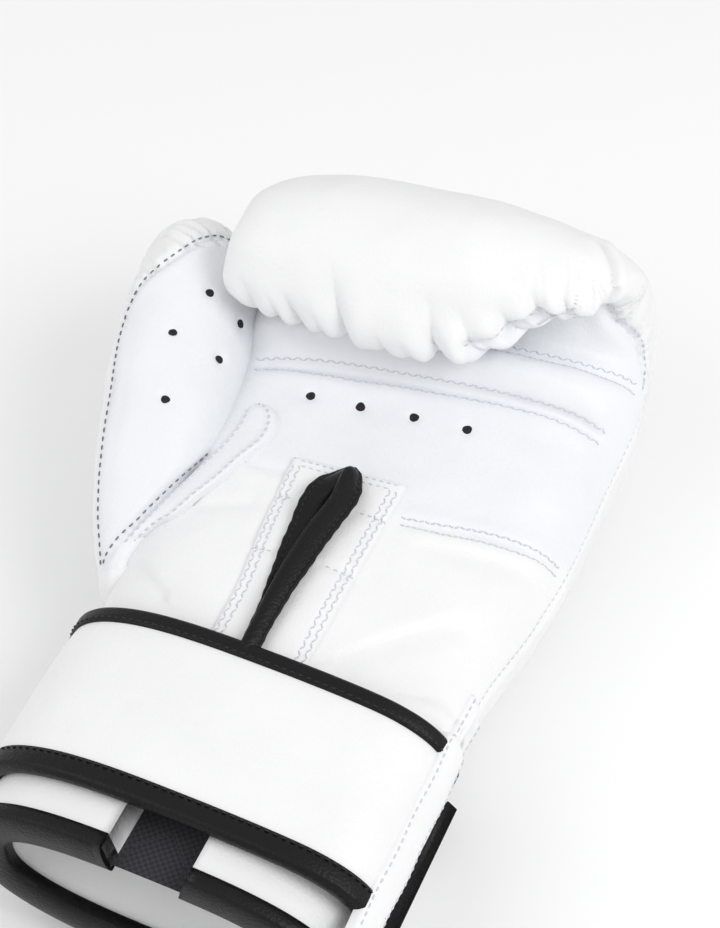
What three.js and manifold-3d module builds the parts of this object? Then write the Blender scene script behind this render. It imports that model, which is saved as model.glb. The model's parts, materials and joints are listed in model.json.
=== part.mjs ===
// A left-hand boxing glove with a wrap-around hook-and-loop wrist strap, lying on its back with the palm up.
// Millimetres. +Y runs from the cuff to the knuckles, +X away from the thumb, +Z up out of the palm.
// The origin is on the flat of the back padding that the glove lies on.
import * as THREE from "three";
import { mergeVertices } from "three/addons/utils/BufferGeometryUtils.js";
import Module from "manifold-3d";

const wasm = await Module();
wasm.setup();
const V = (x, y, z) => new THREE.Vector3(x, y, z);
const rad = THREE.MathUtils.degToRad;

// ---------------------------------------------------------------- driving dimensions
const gap = 0.4; // between pieces that touch or are sewn together
const leather = 1.4;
const liningCloth = 1.0;

const wristY = -62; // where the hand compartment starts and the strap's upper edge lies
const palmZ = 69.5; // height of the palm over the surface that the glove lies on
const frontY = 131; // foremost point of the fist
const fistHeight = 121.5;
const bodyShiftX = 6; // the body's middle, to the little finger's side of the strap's middle
const palmHalfWidth = 68;
const fistHalfWidth = 68;
const fistYaw = 7.5; // degrees that the knuckle line slants, little finger forward
const sideSeamAngle = 4; // degrees above the widest line, seen from the section's middle

const backFoam = 15;
const knuckleFoam = 14;
const knuckleInnerFoam = 8;
const gripBarRadius = 7;
const gripBarHalfLength = 38;
const gripBarY = 66;
const gripRise = 11; // how far the grip bar's crown stands above the palm
const gripBarPad = gripBarRadius - 3.4; // from the bar's crown to the leather, whose curve is flatter
const gripBarClearance = 0.7; // between the bar and the hand lining under it

const cuffHalfWidth = 60;
const wristHalfWidth = cuffHalfWidth; // the hand compartment starts flush with the cuff
const cuffHalfHeight = 29.5;
const cuffZ = 39;
const cuffX = 6;
const cuffFoam = 8;
const slitHalfAngle = 7; // degrees, the entry slit on the palm side of the cuff

const strapWidth = 63;
const strapBelowWrist = 1;
const cuffBelowStrap = 16;
const cuffLength = strapBelowWrist + strapWidth + cuffBelowStrap;
const strapThickness = 2.6;
const strapGap = 0.7;
const patchThickness = 1.2; // the hook field and the loop field
const bindingWidth = 6;
const lowerBindingWidth = 7.5;
const bindingThickness = 1.1;

const centreStripHalfWidth = 17;
const centreStripFlare = 6; // how much further to the thumb's side its far end reaches
const centreStripX = 4;
const ventRadius = 1.7;
const palmVents = 4;
const palmVentPitch = 18;

const loopLength = 70;
const loopTapeWidth = 6.4;
const loopTapeThickness = 1.8;
const loopHalfSpread = 6.8; // to the middle of the tape
const loopX = 2.5;
const thumbLength = 135;
const thumbHalfWidth = 23;
const thumbHalfDepth = 21;
const thumbFoam = 6;
const thumbClearance = 1.2;

// ---------------------------------------------------------------- mesh helpers
const steps = (from, to, count) =>
  Array.from({ length: count + 1 }, (_, i) => from + ((to - from) * i) / count);

/** A closed geometry from points and triangles, turned so that its faces point out. */
function closedGeometry(points, triangles) {
  const volume = triangles.reduce(
    (sum, [a, b, c]) => sum + points[a].dot(points[b].clone().cross(points[c])) / 6, 0);
  const index = triangles.flatMap(([a, b, c]) => (volume < 0 ? [a, c, b] : [a, b, c]));
  const geometry = new THREE.BufferGeometry().setFromPoints(points);
  geometry.setIndex(index);
  return geometry;
}

/** A curved slab: top(u, v) and bottom(u, v) over a grid of u and v, with walls round its edge. */
function slab(top, bottom, us, vs) {
  const rows = us.length;
  const columns = vs.length;
  const points = [top, bottom].flatMap((side) => us.flatMap((u) => vs.map((v) => side(u, v))));
  const at = (side, i, j) => side * rows * columns + i * columns + j;
  const triangles = [];
  const quad = (a, b, c, d) => triangles.push([a, b, c], [a, c, d]);
  for (let i = 0; i < rows - 1; i++) {
    for (let j = 0; j < columns - 1; j++) {
      quad(at(0, i, j), at(0, i + 1, j), at(0, i + 1, j + 1), at(0, i, j + 1));
      quad(at(1, i, j), at(1, i, j + 1), at(1, i + 1, j + 1), at(1, i + 1, j));
    }
    quad(at(0, i, 0), at(1, i, 0), at(1, i + 1, 0), at(0, i + 1, 0));
    quad(at(0, i + 1, columns - 1), at(1, i + 1, columns - 1), at(1, i, columns - 1), at(0, i, columns - 1));
  }
  for (let j = 0; j < columns - 1; j++) {
    quad(at(0, 0, j + 1), at(1, 0, j + 1), at(1, 0, j), at(0, 0, j));
    quad(at(0, rows - 1, j), at(1, rows - 1, j), at(1, rows - 1, j + 1), at(0, rows - 1, j + 1));
  }
  return closedGeometry(points, triangles);
}

/** A solid through closed rings, with a flat-fanned cap at each end. */
function ringSolid(rings) {
  const count = rings[0].length;
  const points = rings.flat();
  const triangles = [];
  for (let i = 0; i < rings.length - 1; i++) {
    for (let j = 0; j < count; j++) {
      const k = (j + 1) % count;
      const [a, b, c, d] = [i * count + j, (i + 1) * count + j, (i + 1) * count + k, i * count + k];
      triangles.push([a, b, c], [a, c, d]);
    }
  }
  const lastStart = (rings.length - 1) * count;
  for (const [ring, start, turned] of [[rings[0], 0, false], [rings.at(-1), lastStart, true]]) {
    const middle = ring.reduce((sum, p) => sum.add(p), V(0, 0, 0)).divideScalar(count);
    points.push(middle);
    for (let j = 0; j < count; j++) {
      const [a, b] = [start + j, start + ((j + 1) % count)];
      triangles.push(turned ? [points.length - 1, b, a] : [points.length - 1, a, b]);
    }
  }
  return closedGeometry(points, triangles);
}

/** A bag: the wall between outer and inner rings, open at the first ring and closed at the last. */
const bagSolid = (outerRings, innerRings) => ringSolid([...innerRings.toReversed(), ...outerRings]);

/** A closed geometry as a manifold-3d solid, and back. */
function toSolid(geometry) {
  const bare = new THREE.BufferGeometry().setAttribute("position", geometry.getAttribute("position"));
  bare.setIndex(geometry.index ?? null);
  const merged = mergeVertices(bare, 1e-4);
  return new wasm.Manifold(new wasm.Mesh({
    numProp: 3,
    vertProperties: merged.getAttribute("position").array,
    triVerts: new Uint32Array(merged.index.array),
  }));
}

function toGeometry(solid) {
  const mesh = solid.getMesh();
  const geometry = new THREE.BufferGeometry();
  geometry.setAttribute("position", new THREE.BufferAttribute(mesh.vertProperties, 3));
  geometry.setIndex(new THREE.BufferAttribute(mesh.triVerts, 1));
  return geometry;
}

/** What is left of a geometry with the cutters taken out: its largest piece. */
function cut(geometry, ...cutters) {
  const left = cutters.reduce((solid, cutter) => solid.subtract(cutter), toSolid(geometry));
  const pieces = left.decompose().sort((a, b) => b.volume() - a.volume());
  return toGeometry(pieces[0]);
}

const power = (value, exponent) => Math.sign(value) * Math.abs(value) ** exponent;
const smooth = THREE.MathUtils.smoothstep;

// ---------------------------------------------------------------- the body's surface
// Each row is one section of the body. Its outer point is on the padded back and its inner point on the palm
// side, both in the YZ plane; past the grip bar the rows fan round the finger crotch and back over the palm.
const hubY = gripBarY + 20;
const hubZ = palmZ + 13.5;
const seamLow = gripBarY - 13; // palm to grip bar
const seamHigh = gripBarY + 13; // grip bar to finger panel
const wristZ = [cuffZ - cuffHalfHeight, cuffZ + cuffHalfHeight];
const bodyRows = [ // outer y and z, inner y and z, half width, x
  [wristY, wristZ[0], wristY, wristZ[1], wristHalfWidth, cuffX],
  [wristY + 30, 1.2, wristY + 30, palmZ + 1, (wristHalfWidth + palmHalfWidth) / 2, 4],
  [10, -1.6, 10, palmZ, palmHalfWidth, bodyShiftX],
  [48, -1.2, seamLow, palmZ + 1.5, palmHalfWidth + 1, bodyShiftX],
  [86, 3, gripBarY, palmZ + gripRise, fistHalfWidth + 2, bodyShiftX],
  [frontY - 19, 22, seamHigh, palmZ + 8, fistHalfWidth + 1, bodyShiftX - 1],
  [frontY - 3, 50, hubY - 2, hubZ - 2, fistHalfWidth - 1, bodyShiftX - 2],
  [frontY - 3, 80, hubY, hubZ, fistHalfWidth - 3, bodyShiftX - 3],
  [frontY - 19, fistHeight - 13, hubY + 0.5, hubZ + 2, fistHalfWidth - 3, bodyShiftX - 5],
  [frontY - 42, fistHeight, hubY, hubZ + 3.5, fistHalfWidth - 4, bodyShiftX - 7],
  [frontY - 63, fistHeight - 5.5, hubY - 1, hubZ + 3.5, fistHalfWidth - 6, bodyShiftX - 10],
  [frontY - 76, fistHeight - 19, hubY - 2, hubZ + 3, fistHalfWidth - 8, bodyShiftX - 12],
  [frontY - 78, fistHeight - 32, hubY - 3, hubZ + 2.5, fistHalfWidth - 11, bodyShiftX - 13],
  [frontY - 67, fistHeight - 37.5, hubY - 4, hubZ + 2, fistHalfWidth - 17, bodyShiftX - 12],
];
const lastRow = bodyRows.length - 1;
const curveOf = (points) => new THREE.CatmullRomCurve3(points, false, "catmullrom", 0.5);
const outerCurve = curveOf(bodyRows.map(([y, z]) => V(0, y, z)));
const innerCurve = curveOf(bodyRows.map(([, , y, z]) => V(0, y, z)));
const widthCurve = curveOf(bodyRows.map(([, , , , half, x]) => V(x, half, 0)));
const rollTaper = 0.25; // how much the roll thins towards the little finger's end
/** The roundness of the body's corners: the palm side is flatter than the back from the palm on. */
const cornerPower = (row, palmSide) => (palmSide ? 2.6 + smooth(row, 1.5, 3) : 2.7);

/** How far the body's section slants at a row: none at the wrist, the whole fist yaw from the grip bar on. */
const slant = (row) => Math.tan(rad(fistYaw)) * smooth(row, 0.6, 3);

/** A point of the body's section. angle: 0 right, 90 palm side, 180 left, -90 back.
 *  off holds how far the surface is moved in at the back, the palm side and the sides. */
function bodyPoint(row, angle, off = {}) {
  const { back = 0, palm = 0, side = 0 } = off;
  const outer = outerCurve.getPoint(row / lastRow);
  const inner = innerCurve.getPoint(row / lastRow);
  const width = widthCurve.getPoint(row / lastRow);
  const across = inner.clone().sub(outer);
  const half = across.length() / 2;
  across.normalize();
  const middle = outer.clone().add(inner).multiplyScalar(0.5);
  const corner = cornerPower(row, Math.sin(rad(angle)) > 0);
  const c = power(Math.cos(rad(angle)), 2 / corner);
  const s = power(Math.sin(rad(angle)), 2 / corner);
  const reach = s < 0 ? half - back : half - palm;
  const dx = (width.y - side) * c;
  const thin = rollTaper * smooth(row, 5, 8) * Math.max(c, 0) ** 2;
  const point = middle.addScaledVector(across, reach * s).addScaledVector(across, half * (1 - s) * thin);
  point.x = width.x + dx;
  point.y += slant(row) * dx;
  point.z = Math.max(point.z, back); // the glove's own weight flattens its back
  return point;
}

/** The body's surface moved in along its normal by depth. */
function bodySkin(row, angle, depth) {
  const e = 0.02;
  const low = Math.max(row - e, 0);
  const high = Math.min(row + e, lastRow);
  const du = bodyPoint(high, angle).sub(bodyPoint(low, angle));
  const dv = bodyPoint(row, angle + 0.5).sub(bodyPoint(row, angle - 0.5));
  const normal = du.cross(dv).normalize();
  return bodyPoint(row, angle).addScaledVector(normal, -depth);
}

/** The section angle at which the palm side of a row is at x. */
function angleAt(row, x) {
  const width = widthCurve.getPoint(row / lastRow);
  const share = THREE.MathUtils.clamp((x - width.x) / width.y, -1, 1);
  return THREE.MathUtils.radToDeg(Math.acos(power(share, cornerPower(row, true) / 2)));
}

/** The palm side's point over (x, y), raised by lift. Good from the wrist to the grip bar. */
function onPalm(x, y, lift = 0) {
  let low = 0;
  let high = 4;
  for (let i = 0; i < 30; i++) {
    const row = (low + high) / 2;
    if (bodyPoint(row, angleAt(row, x)).y < y) low = row;
    else high = row;
  }
  const row = (low + high) / 2;
  return bodySkin(row, angleAt(row, x), -lift);
}

// ---------------------------------------------------------------- the thumb's surface
const thumbBase = V(-58, -41, 45);
const thumbShare = thumbLength / 132;
const thumbRows = [
  { at: [0, 0, 0], half: 0.22, deep: 0.4 },
  { at: [-6, 22, 4], half: 0.55, deep: 0.74 },
  { at: [-10, 48, 10], half: 0.86, deep: 0.95 },
  { at: [-15, 74, 17], half: 1.0, deep: 1 },
  { at: [-21, 98, 24], half: 0.97, deep: 0.96 },
  { at: [-26, 115, 29], half: 0.78, deep: 0.82 },
  { at: [-27, 126, 31], half: 0.36, deep: 0.42 },
];
const thumbLast = thumbRows.length - 1;
const thumbAxis = curveOf(thumbRows.map((r) => V(...r.at).multiplyScalar(thumbShare).add(thumbBase)));
const thumbSize = curveOf(thumbRows.map((r) => V(r.half * thumbHalfWidth, r.deep * thumbHalfDepth, 0)));
const thumbTilt = 20; // degrees that the panel leans towards the palm
const thumbPower = 2.4;
const thumbInnerSeam = 8; // degrees of section angle, on the palm's side
const thumbSwing = 8; // degrees that the thumb gives outwards at its root
const thumbPivot = V(-46, -38, 45);

/** A point of the thumb's section. angle: 0 towards the palm, 90 the panel's middle, 180 left, -90 under. */
function thumbPoint(row, angle, depth = 0) {
  const t = row / thumbLast;
  const middle = thumbAxis.getPoint(t);
  const along = thumbAxis.getTangent(t);
  const size = thumbSize.getPoint(t);
  const face = V(Math.sin(rad(thumbTilt)), 0, Math.cos(rad(thumbTilt)));
  face.addScaledVector(along, -face.dot(along)).normalize();
  const wide = along.clone().cross(face);
  const c = power(Math.cos(rad(angle)), 2 / thumbPower);
  const s = power(Math.sin(rad(angle)), 2 / thumbPower);
  return middle
    .addScaledVector(wide, (size.x - depth) * c)
    .addScaledVector(face, (size.y - depth) * s);
}

const thumbRing = (row, depth, count = 20) =>
  steps(0, 360 - 360 / count, count - 1).map((angle) => thumbPoint(row, angle, depth));
const swungRing = (row, swing) => thumbRing(row, -thumbClearance).map((p) =>
  p.sub(thumbPivot).applyAxisAngle(V(0, 0, 1), rad(swing)).add(thumbPivot));
/** The room that the thumb sweeps, with its clearance. */
const thumbRoom = steps(0, thumbSwing, 2)
  .map((swing) => toSolid(ringSolid(steps(0, thumbLast, 9).map((row) => swungRing(row, swing)))))
  .reduce((all, room) => all.add(room));

// ---------------------------------------------------------------- the cuff's and the strap's surface
const cuffEndY = wristY - cuffLength;
const strapHighY = wristY - strapBelowWrist;
const strapLowY = strapHighY - strapWidth;
const cuffPower = 2.8;

/** A point of an oval round the cuff's axis. angle as on the body. */
function oval(y, angle, halfWidth, halfHeight, z) {
  const c = power(Math.cos(rad(angle)), 2 / cuffPower);
  const s = power(Math.sin(rad(angle)), 2 / cuffPower);
  return V(cuffX + halfWidth * c, y, z + halfHeight * s);
}
const cuffPoint = (y, angle, depth) =>
  oval(y, angle, cuffHalfWidth - depth, cuffHalfHeight - depth, cuffZ);

// The strap's oval leaves room for the two fastener fields between it and the back of the cuff.
const strapDrop = patchThickness + gap;
/** The strap's surface at a height over its inner face. */
const strapPoint = (y, angle, over) => {
  const lift = strapGap + over;
  return oval(y, angle, cuffHalfWidth + lift, cuffHalfHeight + strapDrop + lift, cuffZ - strapDrop);
};

// ---------------------------------------------------------------- materials
const material = (color, roughness) => new THREE.MeshStandardMaterial({ color, roughness, metalness: 0 });
const whiteLeather = material(0xf2f3f6, 0.45);
const blackLeather = material(0x17151a, 0.4);
const foamMaterial = material(0xd9d3bd, 0.9);
const clothMaterial = material(0x2b2b30, 0.95);
const hookMaterial = material(0x101012, 0.95);

const glove = new THREE.Group();
function add(name, geometry, finish) {
  const mesh = new THREE.Mesh(geometry, finish);
  mesh.name = name;
  glove.add(mesh);
  return mesh;
}

// ---------------------------------------------------------------- outer cover and padding
const seamR = (row) => sideSeamAngle + 40 * smooth(row, 3.8, 7);
const seamL = (row) => 180 - seamR(row);
/** Degrees of section angle that a piece's edge keeps clear of its seam. */
const seamGap = (row) => 0.5 + 2.5 * smooth(row, 3.5, 6);
/** The angle at share v of the way from the right seam, round the back, to the left seam. */
const backAngle = (row, v) => {
  const from = seamR(row) - seamGap(row);
  const to = seamL(row) + seamGap(row) - 360;
  return from + (to - from) * v;
};
const backColumns = steps(0, 1, 18);
const coverRows = [...steps(0.02, 3, 6), ...steps(3.5, lastRow - 0.05, 17)];
const coverGeometry = slab(
  (row, v) => bodySkin(row, backAngle(row, v), 0),
  (row, v) => bodySkin(row, backAngle(row, v), leather),
  coverRows, backColumns);
add("back_cover", cut(coverGeometry, thumbRoom), whiteLeather);

/** A layer of padding under the outer cover, from one row to another. */
function padding(name, fromRow, toRow, rowCount, top, thickness, side) {
  const layer = (depth) => (row, v) => {
    const from = Math.min(seamR(row), 12) - seamGap(row);
    const to = -180 - from;
    return bodyPoint(row, from + (to - from) * v, { back: top + depth, side: side + depth, palm: top });
  };
  const geometry = slab(layer(0), layer(thickness), steps(fromRow, toRow, rowCount), steps(0, 1, 12));
  add(name, cut(geometry, thumbRoom), foamMaterial);
}
const underSkin = leather + gap;
const foamTop = underSkin + 1;
const innerTop = foamTop + knuckleFoam + 2;
padding("back_foam", 0.55, 4, 8, foamTop, backFoam, foamTop + 0.8);
padding("knuckle_foam", 4.1, 7.9, 8, foamTop, knuckleFoam, foamTop + 1.2);
padding("knuckle_inner_foam", 4.6, 7.7, 6, innerTop, knuckleInnerFoam, innerTop + 0.8);

const rollOff = { back: foamTop + 1, palm: foamTop + 2, side: foamTop + 1.6 };
const ringAngles = steps(0, 342, 19);
add("roll_foam", ringSolid(steps(8.05, lastRow - 1, 9).map((row) =>
  ringAngles.map((angle) => bodyPoint(row, angle, rollOff)))), foamMaterial);

// ---------------------------------------------------------------- hand lining
const handOff = { back: foamTop + backFoam + 1.6, palm: 2 * leather + 2 * gap, side: foamTop + backFoam + 3 };
const moreOff = (off, more) => ({ back: off.back + more, palm: off.palm + more, side: off.side + more });
const gussetDepth = leather + cuffFoam + 2.5 * gap + bindingThickness;
const liningDepth = gussetDepth + liningCloth + gap;
const underBar = leather + gap + gripBarPad + 2 * gripBarRadius + gripBarClearance; // below the bar's crown
/** How far in the lining lies at a row: deeper past the grip bar, which crosses over it. */
function liningOff(row, more) {
  const drop = underBar - handOff.palm - gripRise * (1 - smooth(row, 2.6, 4));
  return moreOff(row > 2.9 ? { ...handOff, palm: handOff.palm + drop } : handOff, more);
}
const liningRings = (more) => [
  ...steps(cuffEndY + 1, wristY - 1, 4).map((y) =>
    ringAngles.map((angle) => cuffPoint(y, angle, liningDepth + more))),
  ...steps(0.5, 4.4 - more * 0.05, 6).map((row) =>
    ringAngles.map((angle) => bodyPoint(row, angle, liningOff(row, more)))),
];
add("hand_lining", cut(bagSolid(liningRings(0), liningRings(liningCloth)), thumbRoom), clothMaterial);

// ---------------------------------------------------------------- palm side
/** A leather panel on the palm side. Its ends are rows at share v of the way across, its sides angles at a
 *  row. */
function palmPanel(nearRow, farRow, rowCount, left, right, columns, lift = 0) {
  const place = (depth) => (u, v) => {
    const row = nearRow(v) + (farRow(v) - nearRow(v)) * u;
    return bodySkin(row, left(row) + (right(row) - left(row)) * v, depth - lift);
  };
  return slab(place(0), place(leather), steps(0, 1, rowCount), steps(0, 1, columns));
}
const level = (row) => () => row;
const rowGap = 0.012;
const fingerSeamRow = 4.6; // grip bar to finger panel
const splitDegrees = 0.35;
const sideL = (row) => seamL(row) - seamGap(row);
const sideR = (row) => seamR(row) + seamGap(row);
const middle = (row) => angleAt(row, centreStripX);
const stripTopRow = 2.12;
const stripLeft = (row) =>
  angleAt(row, centreStripX - centreStripHalfWidth - centreStripFlare * smooth(row, 0.5, stripTopRow));
const stripRight = (row) => angleAt(row, centreStripX + centreStripHalfWidth);
/** The row of the seam between the wrist panels and the palm panel, at share v from the thumb's side. */
const wristSeam = (v) => (v < 0.5 ? 2.1 - 0.5 * v : 1.85 + 0.3 * smooth(v, 0.6, 1));

add("wrist_panel_left", cut(
  palmPanel(level(0.02), (v) => wristSeam(v / 2) - rowGap, 6, sideL, (row) => middle(row) + splitDegrees, 8),
  thumbRoom), whiteLeather);
add("wrist_panel_right", palmPanel(level(0.02), (v) => wristSeam(0.5 + v / 2) - rowGap, 6,
  (row) => middle(row) - splitDegrees, sideR, 8), whiteLeather);
add("centre_strip",
  palmPanel(level(0.02), level(stripTopRow), 6, stripLeft, stripRight, 5, leather + gap), whiteLeather);

/** The folded gusset in the web of the thumb lies over the palm, along the thumb. */
const webFrom = V(-54, -30, 0);
const webTo = V(-37, 24, 0);
const webWidth = 10;
const webPoint = (lift) => (u, v) => {
  const at = webFrom.clone().lerp(webTo, u);
  return onPalm(at.x + webWidth * (v - 0.5) * (0.5 + u), at.y - 4 * v, lift);
};
const webSlab = slab(webPoint(2 * leather + gap), webPoint(leather + gap), steps(0, 1, 7), [0, 0.5, 1]);
add("web_gusset", cut(webSlab, thumbRoom), whiteLeather);

const palmGeometry = palmPanel((v) => wristSeam(v) + rowGap, level(3 - rowGap), 5, sideL, sideR, 16);
const ventDrill = (at, along) => {
  const drill = new THREE.CylinderGeometry(ventRadius, ventRadius, 8, 12);
  drill.applyQuaternion(new THREE.Quaternion().setFromUnitVectors(V(0, 1, 0), along.clone().normalize()));
  drill.translate(at.x, at.y, at.z);
  return toSolid(drill);
};
const palmVentY = seamLow - 9.5;
const palmVentX = -25.6;
const palmDrills = steps(0, palmVents - 1, palmVents - 1).map((i) => {
  const x = palmVentX + i * palmVentPitch;
  return ventDrill(onPalm(x, palmVentY + slant(3) * (x - bodyShiftX)), V(0, 0, 1));
});
add("palm_panel", cut(palmGeometry, thumbRoom, ...palmDrills), whiteLeather);
add("grip_bar_cover", cut(
  palmPanel(level(3 + rowGap), level(fingerSeamRow - rowGap), 8, sideL, sideR, 14), thumbRoom), whiteLeather);
add("finger_panel", cut(
  palmPanel(level(fingerSeamRow + rowGap), level(6.5), 5, sideL, sideR, 14), thumbRoom), whiteLeather);

const gripBarZ = palmZ + gripRise - leather - gap - gripBarPad - gripBarRadius;
const gripBar = new THREE.CapsuleGeometry(gripBarRadius, 2 * gripBarHalfLength - 2 * gripBarRadius, 4, 12);
gripBar.rotateZ(Math.PI / 2);
gripBar.rotateZ(rad(fistYaw));
gripBar.translate(bodyShiftX, gripBarY, gripBarZ);
add("grip_bar", cut(gripBar, thumbRoom), foamMaterial);

// ---------------------------------------------------------------- cuff
const cuffRows = steps(cuffEndY + bindingWidth / 2, wristY - 1, 3);
/** A layer of the cuff, open at the slit on the palm side. */
function cuffLayer(depth, thickness, endY) {
  const from = 90 - slitHalfAngle;
  const to = -270 + slitHalfAngle;
  return slab(
    (y, angle) => cuffPoint(y, angle, depth),
    (y, angle) => cuffPoint(y, angle, depth + thickness),
    steps(endY, wristY - 1, 3), steps(from, to, 26));
}
const edgeInset = bindingThickness + gap;
add("cuff_cover", cuffLayer(0, leather, cuffEndY + edgeInset), whiteLeather);
add("cuff_foam", cuffLayer(leather + gap, cuffFoam, cuffEndY + edgeInset), foamMaterial);
add("cuff_gusset", slab(
  (y, angle) => cuffPoint(y, angle, gussetDepth),
  (y, angle) => cuffPoint(y, angle, gussetDepth + liningCloth - gap / 2),
  cuffRows, steps(90 - 3 * slitHalfAngle, 90 + 3 * slitHalfAngle, 6)), clothMaterial);

/** A folded tape over the edge of a layer: three sides of a channel, its mouth towards +Y (way 1) or
 *  -Y (way -1). */
function bindingSection(edgeY, way, width, inside, outside) {
  const wall = bindingThickness;
  const mouth = edgeY + way * width;
  const floor = edgeY + way * wall;
  return [
    [edgeY, inside - wall], [mouth, inside - wall], [mouth, inside], [floor, inside],
    [floor, outside], [mouth, outside], [mouth, outside + wall], [edgeY, outside + wall],
  ];
}

/** A solid that carries a closed section of [y, height] points round an oval, from one angle to another. */
function bandSolid(section, surface, angles) {
  const points = angles.flatMap((angle) => section.map(([y, over]) => surface(y, angle, over)));
  const count = section.length;
  const triangles = [];
  for (let i = 0; i < angles.length - 1; i++) {
    for (let j = 0; j < count; j++) {
      const k = (j + 1) % count;
      const [a, b, c, d] = [i * count + j, (i + 1) * count + j, (i + 1) * count + k, i * count + k];
      triangles.push([a, b, c], [a, c, d]);
    }
  }
  const flat = section.map(([y, over]) => new THREE.Vector2(y, over));
  const clockwise = THREE.ShapeUtils.isClockWise(flat);
  const end = (angles.length - 1) * count;
  for (const face of THREE.ShapeUtils.triangulateShape(flat, [])) {
    const [a, b, c] = clockwise ? face.toReversed() : face;
    triangles.push([a, b, c], [end + c, end + b, end + a]);
  }
  return closedGeometry(points, triangles);
}
const cuffOver = (y, angle, over) => cuffPoint(y, angle, -over);
add("cuff_binding", bandSolid(
  bindingSection(cuffEndY, 1, bindingWidth, -(leather + cuffFoam + 1.5 * gap), gap / 2),
  cuffOver, steps(90 - slitHalfAngle, -270 + slitHalfAngle, 26)), blackLeather);

// ---------------------------------------------------------------- strap
const anchorEnd = 24; // the sewn end, under the side strip
const palmEnd = 148;
const sideEnd = 212;
const backEnd = 349;
const jointGap = 0.5; // degrees

/** One length of the strap: its leather and the binding on its two long edges. */
function strapLength(name, from, to, columns) {
  const angles = steps(from + jointGap, to - jointGap, columns);
  const inset = bindingThickness + gap;
  add(`${name}_panel`, slab(
    (y, angle) => strapPoint(y, angle, bindingThickness + gap + strapThickness),
    (y, angle) => strapPoint(y, angle, bindingThickness + gap),
    [strapLowY + inset, strapHighY - inset], angles), whiteLeather);
  const edges = [["upper", strapHighY, -1, bindingWidth], ["lower", strapLowY, 1, lowerBindingWidth]];
  for (const [edge, edgeY, way, width] of edges) {
    const [inside, outside] = [bindingThickness + gap / 2, bindingThickness + 1.5 * gap + strapThickness];
    const section = bindingSection(edgeY, way, width, inside, outside);
    add(`${name}_${edge}_binding`, bandSolid(section, strapPoint, angles), blackLeather);
  }
}
strapLength("strap_anchor", 2, anchorEnd, 3);
strapLength("strap_palm", anchorEnd, palmEnd, 14);
strapLength("strap_side", palmEnd, sideEnd, 9);
strapLength("strap_back", sideEnd, backEnd, 14);

const tipOver = [bindingThickness + gap / 2, bindingThickness + 1.5 * gap + strapThickness];
add("strap_tip_binding", slab(
  (y, angle) => strapPoint(y, angle, tipOver[1]),
  (y, angle) => strapPoint(y, angle, tipOver[0]),
  steps(strapLowY + gap, strapHighY - gap, 2), [backEnd, backEnd + 1.2]), blackLeather);

const fieldInset = lowerBindingWidth + 3;
const fieldAngles = steps(236, 318, 9);
add("hook_field", slab(
  (y, angle) => strapPoint(y, angle, bindingThickness),
  (y, angle) => strapPoint(y, angle, bindingThickness - patchThickness),
  [strapLowY + fieldInset, strapHighY - fieldInset], fieldAngles), hookMaterial);
add("loop_field", slab(
  (y, angle) => cuffPoint(y, angle, -gap - patchThickness),
  (y, angle) => cuffPoint(y, angle, -gap),
  [strapLowY + fieldInset, strapHighY - fieldInset], steps(222, 324, 11)), hookMaterial);

const stripOver = 2 * bindingThickness + 2 * gap + strapThickness + gap;
add("side_strip", slab(
  (y, angle) => strapPoint(y, angle, stripOver + leather),
  (y, angle) => strapPoint(y, angle, stripOver),
  steps(cuffEndY, strapHighY + 10, 4), steps(-7, anchorEnd - 4, 4)), whiteLeather);

// ---------------------------------------------------------------- hang loop
// The folded tape's two legs lie one over the other where they are sewn in under the strap's edge.
const loopRootZ = onPalm(loopX, wristY + 6, leather + gap).z + gap + 2.2;
const loopRoot = V(loopX, strapHighY + gap + loopTapeThickness, loopRootZ);
const tipY = loopLength - loopTapeWidth / 2;
const loopLine = new THREE.CatmullRomCurve3([
  [0.08, 0, 3.2], [0.45, 0.33, 3.1], [1, 0.66, 2.9], [0.95, 0.86, 2.7], [0.6, 0.965, 2.5], [0, 1, 2.3],
  [-0.6, 0.965, 2], [-0.95, 0.86, 1.6], [-1, 0.66, 1.1], [-0.45, 0.33, 0.5], [-0.08, 0, 0],
].map(([x, y, z]) => V(x * loopHalfSpread, y * tipY, z).add(loopRoot)));
const tape = (up) => (u, v) => {
  const across = loopLine.getTangent(u).cross(V(0, 0, 1)).normalize();
  return loopLine.getPoint(u).addScaledVector(across, v * loopTapeWidth).add(V(0, 0, up * loopTapeThickness));
};
add("hang_loop", slab(tape(0.5), tape(-0.5), steps(0, 1, 34), [-0.5, 0, 0.5]), blackLeather);

// ---------------------------------------------------------------- thumb
/** The section angle of the seam on the thumb's outer side; it closes over the panel towards the tip. */
const thumbOuterSeam = (row) => 180 - 22 - 14 * smooth(row, 1.5, 4) - 55 * smooth(row, 4, 5.6);
const thumbCoverEnd = (row) => thumbInnerSeam - 0.8 + (78 - thumbInnerSeam) * smooth(row, 4.6, 5.6);
const thumbLeather = (from, to, toRow, rowCount, columns) => {
  const place = (depth) => (row, v) => thumbPoint(row, from(row) + (to(row) - from(row)) * v, depth);
  return slab(place(0), place(leather), steps(0.3, toRow, rowCount), steps(0, 1, columns));
};
add("thumb_cover", thumbLeather(
  thumbCoverEnd, (row) => thumbOuterSeam(row) + 0.8 - 360, thumbLast - 0.02, 13, 14), whiteLeather);
const tipEase = (row) => 7 * smooth(row, 4, 5.2);
const thumbVents = [[3.88, 86], [3.2, 104], [2.32, 96], [3.06, 66], [3.62, 51]]; // row and section angle
const thumbDrills = thumbVents.map(([row, angle]) => {
  const at = thumbPoint(row, angle);
  return ventDrill(at, at.clone().sub(thumbPoint(row, angle, 5)));
});
const panelFrom = (row) => thumbCoverEnd(row) + 1.6 + tipEase(row);
const panelTo = (row) => thumbOuterSeam(row) - 1.4 - tipEase(row);
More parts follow.
